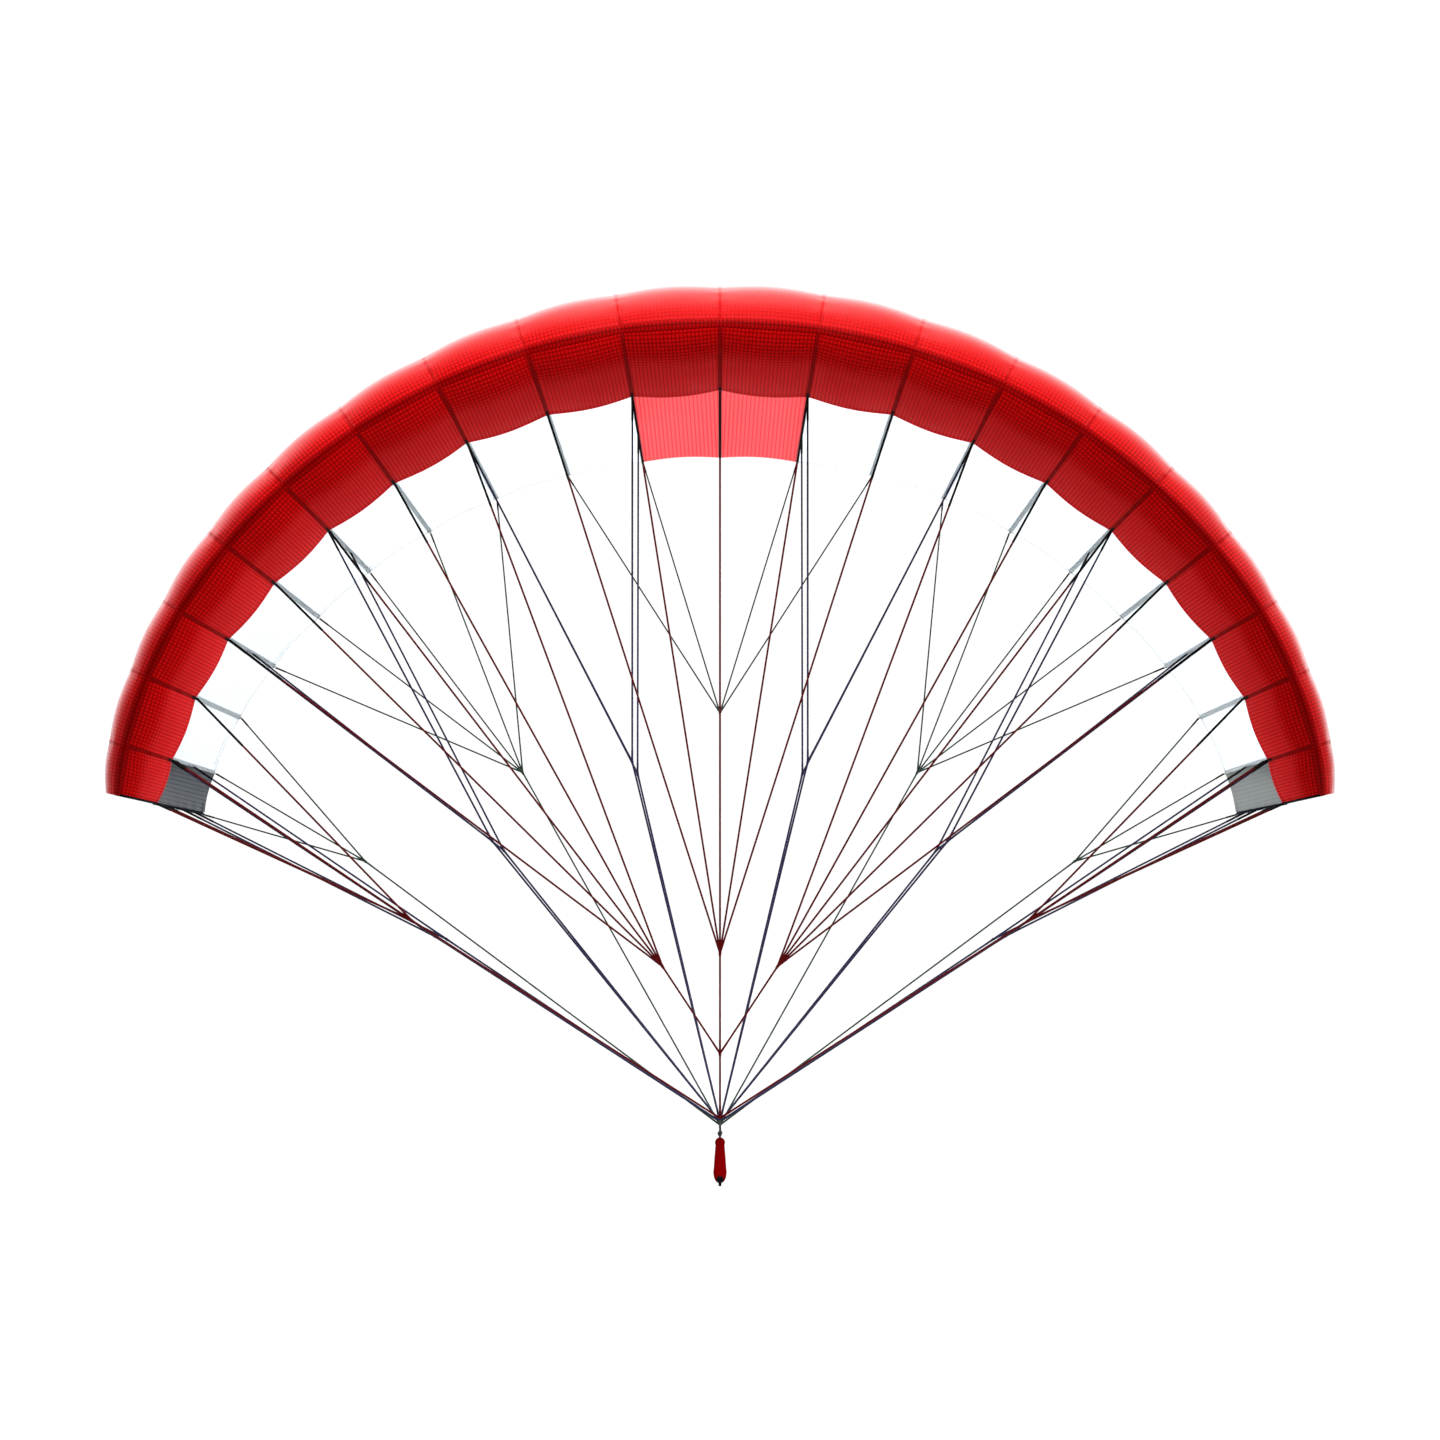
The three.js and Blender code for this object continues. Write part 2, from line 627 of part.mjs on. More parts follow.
const parawing = new THREE.Group();
for (const [from, to] of BAYS) {
  const bay = bayName(from, to);
  parawing.add(named(`crown_${bay}`, crownPanel(from, to), MATERIALS.red));
  parawing.add(named(`rear_${bay}`, rearPanel(from, to), rearMaterial(from, to)));
  parawing.add(named(`nose_${bay}`, nosePanel(from, to), MATERIALS.darkRed));
}
for (let number = -TIP; number <= TIP; number += 1) parawing.add(ribMesh(number));
parawing.add(named('bridle_front', bridleGeometry('front'), MATERIALS.lineRed));
parawing.add(named('bridle_middle', bridleGeometry('middle'), MATERIALS.lineBlue));
parawing.add(named('bridle_rear', bridleGeometry('rear'), MATERIALS.lineGreen));
parawing.add(named('pigtail', pigtailGeometry(), MATERIALS.black));
parawing.add(barGroup());

export default parawing;
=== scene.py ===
# %% [markdown]
# # A parawing in flight
# A parawing is a small kite that a foil rider holds in one hand: a canopy of cells sewn side by side, a
# fan of thin lines and a bar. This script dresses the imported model, which is only plain solids, in cloth,
# line and moulded plastic. Everything is in metres, in the model's own frame: +Z up, +Y towards the
# trailing edge, and the origin in the middle of the bar's grip.

# %% Load the frame
import math
import bpy
import numpy as np
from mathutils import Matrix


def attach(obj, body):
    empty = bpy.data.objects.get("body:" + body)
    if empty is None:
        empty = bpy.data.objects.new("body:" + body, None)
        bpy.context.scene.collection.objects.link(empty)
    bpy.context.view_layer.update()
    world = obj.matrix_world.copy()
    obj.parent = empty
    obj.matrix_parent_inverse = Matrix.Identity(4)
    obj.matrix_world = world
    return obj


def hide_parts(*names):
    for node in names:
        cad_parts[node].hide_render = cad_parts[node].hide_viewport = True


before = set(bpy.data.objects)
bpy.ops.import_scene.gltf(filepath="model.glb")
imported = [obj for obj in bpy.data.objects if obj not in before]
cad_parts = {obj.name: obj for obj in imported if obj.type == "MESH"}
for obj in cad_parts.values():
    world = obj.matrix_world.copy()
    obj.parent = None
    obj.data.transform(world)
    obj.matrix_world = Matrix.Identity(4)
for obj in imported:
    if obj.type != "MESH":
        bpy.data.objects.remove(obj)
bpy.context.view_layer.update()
BODY = "root"
MM = 0.001

# %% [markdown]
# ## The sizes that everything follows
# Every rib of the canopy lies in a plane through one line, the hub, above the bar. So a rib is six numbers,
# and the whole canopy is one short table. The same table made the solids, and it is repeated here because
# a finished piece has to lie exactly where its solid does.

# %% The rib table
HUB_HEIGHT = 488 * MM
FRONT_Y = -125 * MM
# angle from straight up, leading edge from the hub, sweep, chord, rise of the crown, drop of the nose
RIB_ROWS = [
    (0.0, 1318, 0, 1105, 162, 86),
    (9.4, 1322, 2, 1100, 159, 88),
    (18.6, 1328, 9, 1072, 151, 88),
    (27.6, 1337, 21, 1031, 142, 85),
    (36.3, 1349, 40, 993, 133, 86),
    (44.6, 1363, 65, 948, 121, 84),
    (52.3, 1377, 98, 901, 111, 81),
    (59.6, 1390, 137, 836, 98, 75),
    (66.3, 1400, 184, 770, 89, 72),
    (72.9, 1406, 238, 716, 81, 69),
    (77.5, 1409, 300, 677, 67, 50),
]
TIP = len(RIB_ROWS) - 1
RIB_NUMBERS = np.arange(-TIP, TIP + 1)  # left tip to right tip
every_rib = np.array(RIB_ROWS)[np.abs(RIB_NUMBERS)]
TURN = np.radians(every_rib[:, 0]) * np.sign(RIB_NUMBERS)
LEAD, SWEEP, CHORD, CROWN, NOSE = (every_rib[:, 1:] * MM).T
NOSE_END = 0.2  # chord fraction where the lower skin stops
CROWN_END = 0.3  # chord fraction of the seam between the crown and the rear panels
TRAIL_DROP = 0.01  # drop of the trailing edge, as a fraction of the chord
BILLOW = 0.042  # a cell's swell between its ribs, as a fraction of its width
CROWN_PEAK = math.sqrt(1 / 3) * (2 / 3)  # greatest value of sqrt(x)(1 - x)
TIP_LEAN = 6.5 * MM  # the tip's upper edge leans this far inwards at the trailing edge
print("ribs", len(RIB_NUMBERS), "flat span", round(2 * float(np.sum(np.hypot(
    np.diff(LEAD[TIP:]), LEAD[TIP:-1] * np.diff(TURN[TIP:])))), 2), "m")

# %% [markdown]
# ## Two skins and the ribs between them
# The upper skin rises behind the leading edge as the square root of the distance does, which makes a round
# nose, and falls in a straight line to the trailing edge. The lower skin is a quarter of an ellipse and
# stops at the front line tabs: behind it the kite has a single skin. A cell is stretched straight from
# one rib to the next, and the air swells it by half a sine wave.

# %% Section and cell formulas
UPPER, LOWER = 1, -1
SLOPE_STEP = 1e-4  # chord fraction over which an edge's slope is measured


def rib_row(number):
    """The row of a rib in the arrays above, from its number: -10 is the left tip, 10 the right one."""
    return number + TIP


def section(number, x, skin):
    """Distance aft and distance from the hub of a rib's edge at chord fractions x. Upper: lead + crown *
    sqrt(x)(1 - x) / its peak - drop * x. Lower: lead - nose * sqrt(1 - (1 - x / end)^2)."""
    k = rib_row(number)
    y = FRONT_Y + SWEEP[k] + x * CHORD[k]
    if skin == UPPER:
        r = LEAD[k] + CROWN[k] / CROWN_PEAK * np.sqrt(x) * (1 - x) - TRAIL_DROP * CHORD[k] * x
    else:
        r = LEAD[k] - NOSE[k] * np.sqrt(np.clip(1 - (1 - x / NOSE_END) ** 2, 0, 1))
    return y, r


def rib_angle(number, x, skin):
    """The turn of a rib's plane. The tip ribs' upper edges lean inwards, more towards the trailing edge."""
    k = rib_row(number)
    back = np.clip((x - NOSE_END) / (1 - NOSE_END), 0, 1) * (abs(number) == TIP) * (skin == UPPER)
    return TURN[k] - math.copysign(1, number) * TIP_LEAN / LEAD[k] * back


def in_space(turn, y, r):
    """A point of a rib's plane in the kite's frame: turned round the hub line by the rib's angle."""
    turn, y, r = np.broadcast_arrays(turn, y, r)
    return np.stack([r * np.sin(turn), y, HUB_HEIGHT + r * np.cos(turn)], axis=-1)


def unit(v):
    """Vectors divided by their lengths."""
    return v / np.maximum(np.linalg.norm(v, axis=-1, keepdims=True), 1e-12)


def rib_edge(number, x, skin):
    """Points of a rib's edge at chord fractions x, and the outward normals in the rib's plane."""
    y, r = section(number, x, skin)
    low = np.maximum(x - SLOPE_STEP, 0)
    high = np.minimum(x + SLOPE_STEP, 1 if skin == UPPER else NOSE_END)
    (y0, r0), (y1, r1) = section(number, low, skin), section(number, high, skin)
    turn = rib_angle(number, x, skin)
    normal = in_space(turn, -skin * (r1 - r0), skin * (y1 - y0)) - [0, 0, HUB_HEIGHT]
    return in_space(turn, y, r), unit(normal)


def cell_width(cell):
    """The distance between a cell's two ribs at the leading edge."""
    ends = [in_space(TURN[rib_row(n)], *section(n, np.array(0.0), UPPER)) for n in (cell, cell + 1)]
    return float(np.linalg.norm(ends[1] - ends[0]))


CELLS = range(-TIP, TIP)  # a cell has the number of its left rib
print("cell widths", [round(cell_width(c), 3) for c in range(0, TIP)])

# %% [markdown]
# ## From arrays to meshes
# Cloth is a thin shell: the grid of a surface, moved half its thickness each way and closed round its rim.
# A Solidify modifier could do that, but here the thickness changes at a hem, so the two skins are worked
# out. Many shells can be parts of one mesh, as tapes cut from one roll are. Cloth patterns need to know
# where they are on the piece, so each sheet carries two UV maps in metres: "weave", across and along the
# cloth, and "edge", the distance to the nearest seam and to the hem.

# %% Mesh helpers
def grid_faces(rows, cols):
    """Quads of a grid of vertices numbered row by row."""
    a = np.arange(rows * cols).reshape(rows, cols)
    return np.stack([a[:-1, :-1], a[:-1, 1:], a[1:, 1:], a[1:, :-1]], axis=-1).reshape(-1, 4)


def rim_faces(rows, cols):
    """Quads that join the rim of a grid to the rim of its copy underneath, so that the shell is closed."""
    top = np.arange(rows * cols).reshape(rows, cols)
    under = top + rows * cols
    strips = [
        (top[0, 1:], top[0, :-1], under[0, :-1], under[0, 1:]),
        (top[-1, :-1], top[-1, 1:], under[-1, 1:], under[-1, :-1]),
        (top[:-1, 0], top[1:, 0], under[1:, 0], under[:-1, 0]),
        (top[1:, -1], top[:-1, -1], under[:-1, -1], under[1:, -1]),
    ]
    return np.concatenate([np.stack(s, axis=-1) for s in strips])


def grid_normals(points):
    """Normals of a grid: the cross product of its steps along columns and along rows."""
    return unit(np.cross(np.gradient(points, axis=1), np.gradient(points, axis=0)))


def distance_along(path):
    """The distance along a path to each of its points."""
    return np.concatenate([[0], np.cumsum(np.linalg.norm(np.diff(path, axis=0), axis=-1))])


def pairs(first, second):
    """Two coordinates, stretched over the same grid and put side by side, as UVs are."""
    return np.stack(np.broadcast_arrays(first, second), axis=-1)


SHARP_TURN = math.radians(50)  # an edge where faces turn further than this stays sharp


def add_mesh(name, vertices, faces, uvs, material, smooth=True):
    """A mesh object from arrays. uvs holds one (u, v) per vertex for each named UV map."""
    mesh = bpy.data.meshes.new(name)
    mesh.from_pydata(vertices.reshape(-1, 3), [], faces)
    corners = np.empty(len(mesh.loops), np.int32)
    mesh.loops.foreach_get("vertex_index", corners)
    for uv_name, uv in uvs.items():
        layer = mesh.uv_layers.new(name=uv_name)
        layer.uv.foreach_set("vector", uv.reshape(-1, 2)[corners].astype(np.float32).ravel())
    mesh.polygons.foreach_set("use_smooth", np.full(len(mesh.polygons), smooth))
    if smooth:
        mesh.set_sharp_from_angle(angle=SHARP_TURN)
    mesh.materials.append(material)
    piece = bpy.data.objects.new(name, mesh)
    bpy.context.scene.collection.objects.link(piece)
    return piece


def shell_part(points, thickness, uvs):
    """A closed thin sheet on a grid, as a part of a mesh: (vertices, arrays of faces, UV maps). Its two
    skins are points + and - normal * thickness / 2; thickness may be one number or one for each point."""
    rows, cols = points.shape[:2]
    half = grid_normals(points) * np.broadcast_to(np.asarray(thickness) / 2, (rows, cols))[..., None]
    vertices = np.stack([points + half, points - half]).reshape(-1, 3)
    top = grid_faces(rows, cols)
    faces = [top, top[:, ::-1] + rows * cols, rim_faces(rows, cols)]
    return vertices, faces, {key: np.concatenate([uv.reshape(-1, 2)] * 2) for key, uv in uvs.items()}


def add_parts(name, parts, material, smooth=True):
    """One mesh object from any number of parts. A part's faces are moved up by the number of vertices in
    the parts before it."""
    starts = np.cumsum([0] + [len(vertices) for vertices, _, _ in parts])
    faces = []
    for (_, blocks, _), start in zip(parts, starts):
        for face_block in blocks:
            faces += (face_block + start).tolist()
    vertices = np.concatenate([part[0] for part in parts])
    uvs = {key: np.concatenate([part[2][key] for part in parts]) for key in parts[0][2]}
    return add_mesh(name, vertices, faces, uvs, material, smooth)


def side_name(number):
    """left_03, right_10 or middle, from a rib's number."""
    if number == 0:
        return "middle"
    return f"{'left' if number < 0 else 'right'}_{abs(number):02d}"


def finish_piece(piece, nodes=()):
    """Every piece rides on the one body and stands for the nodes it hides, if any."""
    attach(piece, BODY)
    if nodes:
        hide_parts(*nodes)
    return piece

# %% [markdown]
# ## Where panels end: along the seams
# The distance along a rib matters twice. The weave is printed on the cloth by it, and the seams pucker
# by it: a stitched seam is a little shorter than the cloth beside it, so the cloth ripples next to it.

# %% Distance along a rib, and puckers
FINE_STEPS = np.linspace(0, 1, 601)


def rib_arc(number, x, skin):
    """Distance along a rib's edge from the leading edge to chord fraction x: the lengths of many short
    chords added up. Fractions are squared first, because the nose turns fastest at the front."""
    fractions = FINE_STEPS**2 * (1 if skin == UPPER else NOSE_END)
    y, r = section(number, fractions, skin)
    arc = np.concatenate([[0], np.cumsum(np.hypot(np.diff(y), np.diff(r)))])
    return np.interp(x, fractions, arc)


PUCKER = 0.7 * MM
PUCKER_PITCH = 43 * MM
PUCKER_REACH = 16 * MM
PUCKER_SHIFT = 1.7  # each rib's ripple starts this much further round, so that no two are alike
FINE_PUCKER = (0.5, 2.3, 1.0)  # a finer ripple over it: its share, how many times as close, its start


def pucker(number, arc, distance):
    """Ripple beside a seam: a sine along the seam and a finer one over it, times exp(-distance / reach)."""
    share, closer, start = FINE_PUCKER
    turn = 2 * math.pi * arc / PUCKER_PITCH + PUCKER_SHIFT * number
    return PUCKER * np.exp(-distance / PUCKER_REACH) * (np.sin(turn) + share * np.sin(closer * turn + start))


def cell_grid(cell, x, t, skin):
    """A cell's skin with its puckers, at rows x and columns t (t may differ from row to row). Gives the
    points and the two UV maps: weave = (across, along), edge = (to the nearer rib, to the rear edge)."""
    x = np.asarray(x, float)
    t = np.broadcast_to(t, (len(x), np.shape(t)[-1]))[..., None]
    left, left_normal = rib_edge(cell, x, skin)
    right, right_normal = rib_edge(cell + 1, x, skin)
    normal = unit(left_normal[:, None] * (1 - t) + right_normal[:, None] * t)
    width = np.linalg.norm(right - left, axis=-1)[:, None, None]
    arcs = [rib_arc(n, x, skin)[:, None, None] for n in (cell, cell + 1)]
    ripple = pucker(cell, arcs[0], t * width) + pucker(cell + 1, arcs[1], (1 - t) * width)
    swell = BILLOW * width * np.sin(math.pi * t) + ripple
    points = left[:, None] * (1 - t) + right[:, None] * t + normal * swell
    along = arcs[0] * (1 - t) + arcs[1] * t
    rear = np.array([rib_arc(n, 1.0 if skin == UPPER else NOSE_END, skin) for n in (cell, cell + 1)])
    to_rear = rear[0] * (1 - t) + rear[1] * t - along
    weave = np.concatenate([(t - 0.5) * width, along], axis=-1)
    edge = np.concatenate([np.minimum(t, 1 - t) * width, to_rear], axis=-1)
    return points, weave, edge

# %% [markdown]
# ## Cloth, line and plastic as node trees
# Each finish is drawn by a small node tree. These helpers keep the trees readable: one call adds a node,
# sets its fields and joins its inputs, and a few more name the patterns that the finishes share.

# %% Node helpers
def start_finish(name):
    """A new material with an empty node tree."""
    material = bpy.data.materials.new(name)
    material.use_nodes = True
    material.node_tree.nodes.clear()
    return material, material.node_tree


def add(tree, kind, inputs=None, output=0, **fields):
    """Add one node, set its fields, join or set its inputs, and give back one of its outputs."""
    node = tree.nodes.new("ShaderNode" + kind)
    for field, value in fields.items():
        setattr(node, field, value)
    for key, value in (inputs or {}).items():
        if isinstance(value, bpy.types.NodeSocket):
            tree.links.new(value, node.inputs[key])
        else:
            node.inputs[key].default_value = value
    return node.outputs[output]


def calc(tree, operation, *values):
    """One Math node on sockets or numbers."""
    return add(tree, "Math", dict(enumerate(values)), operation=operation)


def blend_colour(tree, factor, a, b, blend_type="MIX"):
    """Colour a turning into colour b, or b multiplied over a."""
    return add(tree, "Mix", {0: factor, 6: a, 7: b}, 2, data_type="RGBA", blend_type=blend_type)


def ramp(tree, value, start, end, first=0.0, last=1.0):
    """A smooth step: first before start, last after end."""
    inputs = {0: value, 1: start, 2: end, 3: first, 4: last}
    return add(tree, "MapRange", inputs, interpolation_type="SMOOTHSTEP")


def threads(tree, coordinate, pitch, width):
    """Parallel threads: 1 on each thread, 0 between. The distance to the nearest multiple of the pitch is
    a triangle wave, and the smooth step gives the thread its width."""
    distance = calc(tree, "PINGPONG", coordinate, pitch / 2)
    return ramp(tree, distance, width * 0.3, width * 0.7, 1.0, 0.0)


def uv_axes(tree, name):
    """The two coordinates of a UV map as separate sockets."""
    vector = add(tree, "UVMap", uv_map=name)
    split = tree.nodes.new("ShaderNodeSeparateXYZ")
    tree.links.new(vector, split.inputs[0])
    return split.outputs[0], split.outputs[1]


def cloud(tree, scale, detail=3.0, low=0.0, high=1.0):
    """Soft uneven patches on the object's own coordinates."""
    place = add(tree, "TexCoord", output=3)
    noise = add(tree, "TexNoise", {"Vector": place, "Scale": scale, "Detail": detail}, 0)
    return ramp(tree, noise, 0.3, 0.7, low, high)


def colour(red, green, blue):
    """A screen colour from 0 to 255, as the linear light that nodes expect."""
    c = np.array([red, green, blue]) / 255
    linear = np.where(c <= 0.04045, c / 12.92, ((c + 0.055) / 1.055) ** 2.4)
    return (*linear.tolist(), 1.0)


# %% [markdown]
# ## Ripstop
# Canopy cloth is ripstop nylon with a thin glossy coating: a fine plain weave with a thicker thread every
# few millimetres both ways, so that a tear stops. The threads are drawn by nodes from the sheet's own UV
# maps, so they stay sharp up close and follow the cloth, which a picture wouldn't. Light comes through
# the cloth, so the shader mixes a Principled surface with a Translucent one. The nose panels are doubled
# at the front, where the cross threads are strong; behind it these fade and the lengthwise threads lead,
# which gives fine stripes along the chord. The doubled strip is darker, partly as painted shade, and the
# cloth behind it is lighter and pinker as painted light. Some cloths also carry a painted shade line along
# a hem's fold, or painted light along a band's upper edge. Cloth seen edge-on is pale, because of its
# loose fibre ends.

# %% Ripstop finishes
RIPSTOP_PITCH = 8.6 * MM
RIPSTOP_THREAD = 0.3  # a thick thread's width, as a fraction of the pitch
STRIPE_PITCH = 10.9 * MM
WEAVE_PITCH = 1.1 * MM
WEAVE_SHARE = 0.12  # how high the fine weave is beside the thick threads
THREAD_DEPTH = 0.12 * MM
CREASE_DEPTH = 3.0 * MM
CREASE_SCALE = 38.0
CREASE_REACH = 45 * MM  # creases run out from the seams for half a hand's width
PATCH_LOW, PATCH_HIGH = 0.965, 1.02  # how uneven the dye is
PATCH_SCALE = 5.0
CROSS_FADED = (0.85, 0.12)  # cross threads fade up to this share of a panel's length, to this strength
# HEM_SHADOW is the span of a painted shade line along a hem's fold
HEM_SHADOW = (1.2 * MM, 2.4 * MM)  # where the line of a hem's fold ends
SHEEN_ROUGHNESS = 0.3
FUZZ_POWER = 5.6
FUZZ_COLOUR = colour(255, 226, 227)


def ripstop(name, body, thread, light_through, grid=1.0, stripes=1.0, rough=0.45, shine=0.1, sheen=0.0,
            fuzz=0.0, pitch=RIPSTOP_PITCH, shaded_doubled_strip=None, hem_shade_line=None, lit_upper_edge=None):
    """Ripstop cloth; grid and stripes are how strongly the threads across and along the chord show.
    doubled = (share of the length, body, thread) is a front strip of two layers, with strong cross threads
    on it: its darker tone is partly painted shade, and the lighter, pinker cloth behind it is painted light.
    hem_shade_line is the colour of a painted shade line along the fold at the rear edge. lit_upper_edge =
    (from, to, body, thread) is painted light on a folded band: its upper edge is lighter, at these distances
    from its middle."""
    material, tree = start_finish(name)
    across, along = uv_axes(tree, "weave")
    to_rib, to_rear = uv_axes(tree, "edge")
    thickness = pitch * RIPSTOP_THREAD
    lengthwise = calc(tree, "MULTIPLY", threads(tree, across, pitch, thickness), stripes)
    crosswise = calc(tree, "MULTIPLY", threads(tree, along, pitch, thickness), grid)
    if shaded_doubled_strip:
        strip_end, strip_body, strip_thread = shaded_doubled_strip
        share = calc(tree, "DIVIDE", along, calc(tree, "ADD", along, to_rear))
        fading = ramp(tree, share, strip_end - 0.1, CROSS_FADED[0], 1.0, CROSS_FADED[1])
        crosswise = calc(tree, "MULTIPLY", crosswise, fading)
        # painted shade on the doubled front strip, painted light on the lighter, pinker cloth behind it
        single = ramp(tree, share, strip_end - 0.07, strip_end + 0.14)
        body = blend_colour(tree, single, strip_body, body)
        thread = blend_colour(tree, single, strip_thread, thread)
    if lit_upper_edge:
        edge_from, edge_to, edge_body, edge_thread = lit_upper_edge
        # painted light: the band's upper edge is lighter, as the lit crown above it is
        lighter = ramp(tree, across, edge_from, edge_to)
        body = blend_colour(tree, lighter, body, edge_body)
        thread = blend_colour(tree, lighter, thread, edge_thread)
    pattern = calc(tree, "MAXIMUM", lengthwise, crosswise)
    cloth = blend_colour(tree, pattern, body, thread)
    # painted shade: a darker line along the hem's fold at the rear edge
    if hem_shade_line:
        cloth = blend_colour(tree, ramp(tree, to_rear, *HEM_SHADOW, 1.0, 0.0), cloth, hem_shade_line)
    patches = cloud(tree, PATCH_SCALE, low=PATCH_LOW, high=PATCH_HIGH)
    dye = add(tree, "CombineColor", {0: patches, 1: patches, 2: patches})
    cloth = blend_colour(tree, 1.0, cloth, dye, "MULTIPLY")
    fine = calc(tree, "ADD", threads(tree, across, WEAVE_PITCH, WEAVE_PITCH * 0.5),
                threads(tree, along, WEAVE_PITCH, WEAVE_PITCH * 0.5))
    height = calc(tree, "MULTIPLY_ADD", fine, WEAVE_SHARE, pattern)
    place = add(tree, "TexCoord", output=3)
    crease = add(tree, "TexNoise", {"Vector": place, "Scale": CREASE_SCALE, "Detail": 2.0,
                                    "Distortion": 0.4})
    creased = calc(tree, "MULTIPLY", crease, ramp(tree, to_rib, 0.0, CREASE_REACH, 1.0, 0.12))
    bump = add(tree, "Bump", {"Strength": 0.35, "Distance": CREASE_DEPTH, "Height": creased})
    bump = add(tree, "Bump", {"Strength": 0.5, "Distance": THREAD_DEPTH, "Height": height, "Normal": bump})
    gloss = ramp(tree, patches, PATCH_LOW, PATCH_HIGH, rough + 0.06, rough - 0.04)
    surface = add(tree, "BsdfPrincipled", {
        "Base Color": cloth, "Roughness": gloss, "Normal": bump, "Specular IOR Level": shine,
        "Sheen Weight": sheen, "Sheen Roughness": SHEEN_ROUGHNESS})
    add_cloth_output(tree, surface, cloth, bump, light_through, fuzz)
    return material


def add_cloth_output(tree, surface, cloth, bump, light_through, fuzz):
    """Mix a surface with the light that comes through it, cover it with fuzz, and join it to the output."""
    glow = add(tree, "BsdfTranslucent", {"Color": cloth, "Normal": bump})
    mixed = add(tree, "MixShader", {0: light_through, 1: surface, 2: glow})
    add_output(tree, with_fuzz(tree, mixed, fuzz) if fuzz else mixed)


def with_fuzz(tree, shader, amount):
    """Cloth seen edge-on is covered by its own loose fibre ends, which are pale and let light through. The
    cover is amount * (1 - cosine)^FUZZ_POWER, so it shows in a narrow line along the outline."""
    edge_on = add(tree, "LayerWeight", {"Blend": 0.5}, 1)
    cover = add(tree, "Math", {0: calc(tree, "POWER", edge_on, FUZZ_POWER), 1: amount},
                operation="MULTIPLY", use_clamp=True)
    front = add(tree, "BsdfDiffuse", {"Color": FUZZ_COLOUR})
    back = add(tree, "BsdfTranslucent", {"Color": FUZZ_COLOUR})
    fibres = add(tree, "MixShader", {0: 0.5, 1: front, 2: back})
    return add(tree, "MixShader", {0: cover, 1: shader, 2: fibres})


def add_output(tree, shader):
    """Join a shader to the material's output."""
    output = tree.nodes.new("ShaderNodeOutputMaterial")
    tree.links.new(shader, output.inputs["Surface"])


BRIGHT_RED = ripstop("bright_red_ripstop", colour(240, 16, 18), colour(158, 6, 8), 0.12, 0.8, 0.8,
                     shine=0.05, sheen=0.28, fuzz=1.35)
# the nose: painted shade darkens its doubled front, and painted light makes the cloth behind it pinker
DEEP_RED = ripstop("deep_red_ripstop", colour(240, 40, 43), colour(190, 21, 23), 0.35, 0.9, 0.9,
                   shine=0.02, shaded_doubled_strip=(0.29, colour(232, 14, 16), colour(160, 2, 3)))
LIGHT_RED = ripstop("light_red_ripstop", colour(255, 142, 148), colour(250, 94, 100), 0.4, 0.1, 0.9,
                    pitch=STRIPE_PITCH)
# white rear panels, with a painted shade line along their hems
WHITE = ripstop("white_ripstop", colour(234, 237, 239), colour(223, 229, 232), 0.76, 0.1, 0.7,
                pitch=STRIPE_PITCH, hem_shade_line=colour(196, 202, 205))
# one grey cloth for the tip bays' rear panels: the left copy darker as painted shade, the right lighter as
# painted light
GREY_SHADED = ripstop("grey_ripstop_shaded", colour(98, 104, 110), colour(74, 80, 86), 0.1, 0.1, 0.9,
                pitch=STRIPE_PITCH)
GREY_LIT = ripstop("grey_ripstop_lit", colour(150, 156, 156), colour(130, 136, 136), 0.1, 0.1, 0.5,
              pitch=STRIPE_PITCH)
RIB_CLOTH = ripstop("rib_ripstop", colour(226, 232, 234), colour(206, 213, 216), 0.3, 0.8, 0.8)
TIP_CLOTH = ripstop("tip_ripstop", colour(40, 42, 52), colour(26, 28, 38), 0.05, 0.8, 0.8, rough=0.7,
                    shine=0.0)
print("ripstop finishes", [m.name for m in bpy.data.materials if "ripstop" in m.name])

# %% [markdown]
# ## Panels
# The upper skin is one crown panel and one rear panel for each bay, the stretch between two ribs with
# fins, and the nose has a panel underneath. A bay has two cells, and the cloth dips to the rib between
# them. The rear panels end in a folded hem, and so do the nose panels: there the shell is thicker. Panels
# are worked out and not simulated, because their shape in flight is known: the air keeps them taut.

# %% Panels by bay
SKIN = 0.8 * MM
HEM_WIDTH = 11 * MM
HEM_SKIN = 1.5 * MM
CELL_COLUMNS = 24
CROWN_ROWS = CROWN_END * np.linspace(0, 1, 31) ** 2
REAR_STEPS = 56
NOSE_STEPS = 22


def bay_of(cell):
    """The name of a cell's bay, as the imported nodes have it: middle, left_1 or right_5."""
    inner_rib = min(abs(cell), abs(cell + 1))
    side = "left" if cell < 0 else "right"
    return f"{side}_{(inner_rib + 1) // 2}" if inner_rib else "middle"


BAYS = {}
for cell in CELLS:
    BAYS.setdefault(bay_of(cell), []).append(cell)


def panel_rows(kind, chord):
    """Chord fractions of a panel's rows, from front to rear: close together at the nose, where the skin
    turns, and with two rows at the fold of a hem."""
    hem = HEM_WIDTH / chord
    if kind == "crown":
        return CROWN_ROWS
    if kind == "rear":
        flat = np.linspace(CROWN_END, 1 - hem * 1.05, REAR_STEPS)
        return np.concatenate([flat, [1 - hem, 1 - hem / 2, 1]])
    turns = NOSE_END * (1 - np.cos(np.linspace(0, math.pi / 2, NOSE_STEPS)))
    body = turns * (1 - hem * 1.1 / NOSE_END)
    return np.concatenate([body, [NOSE_END - hem, NOSE_END - hem / 2, NOSE_END]])


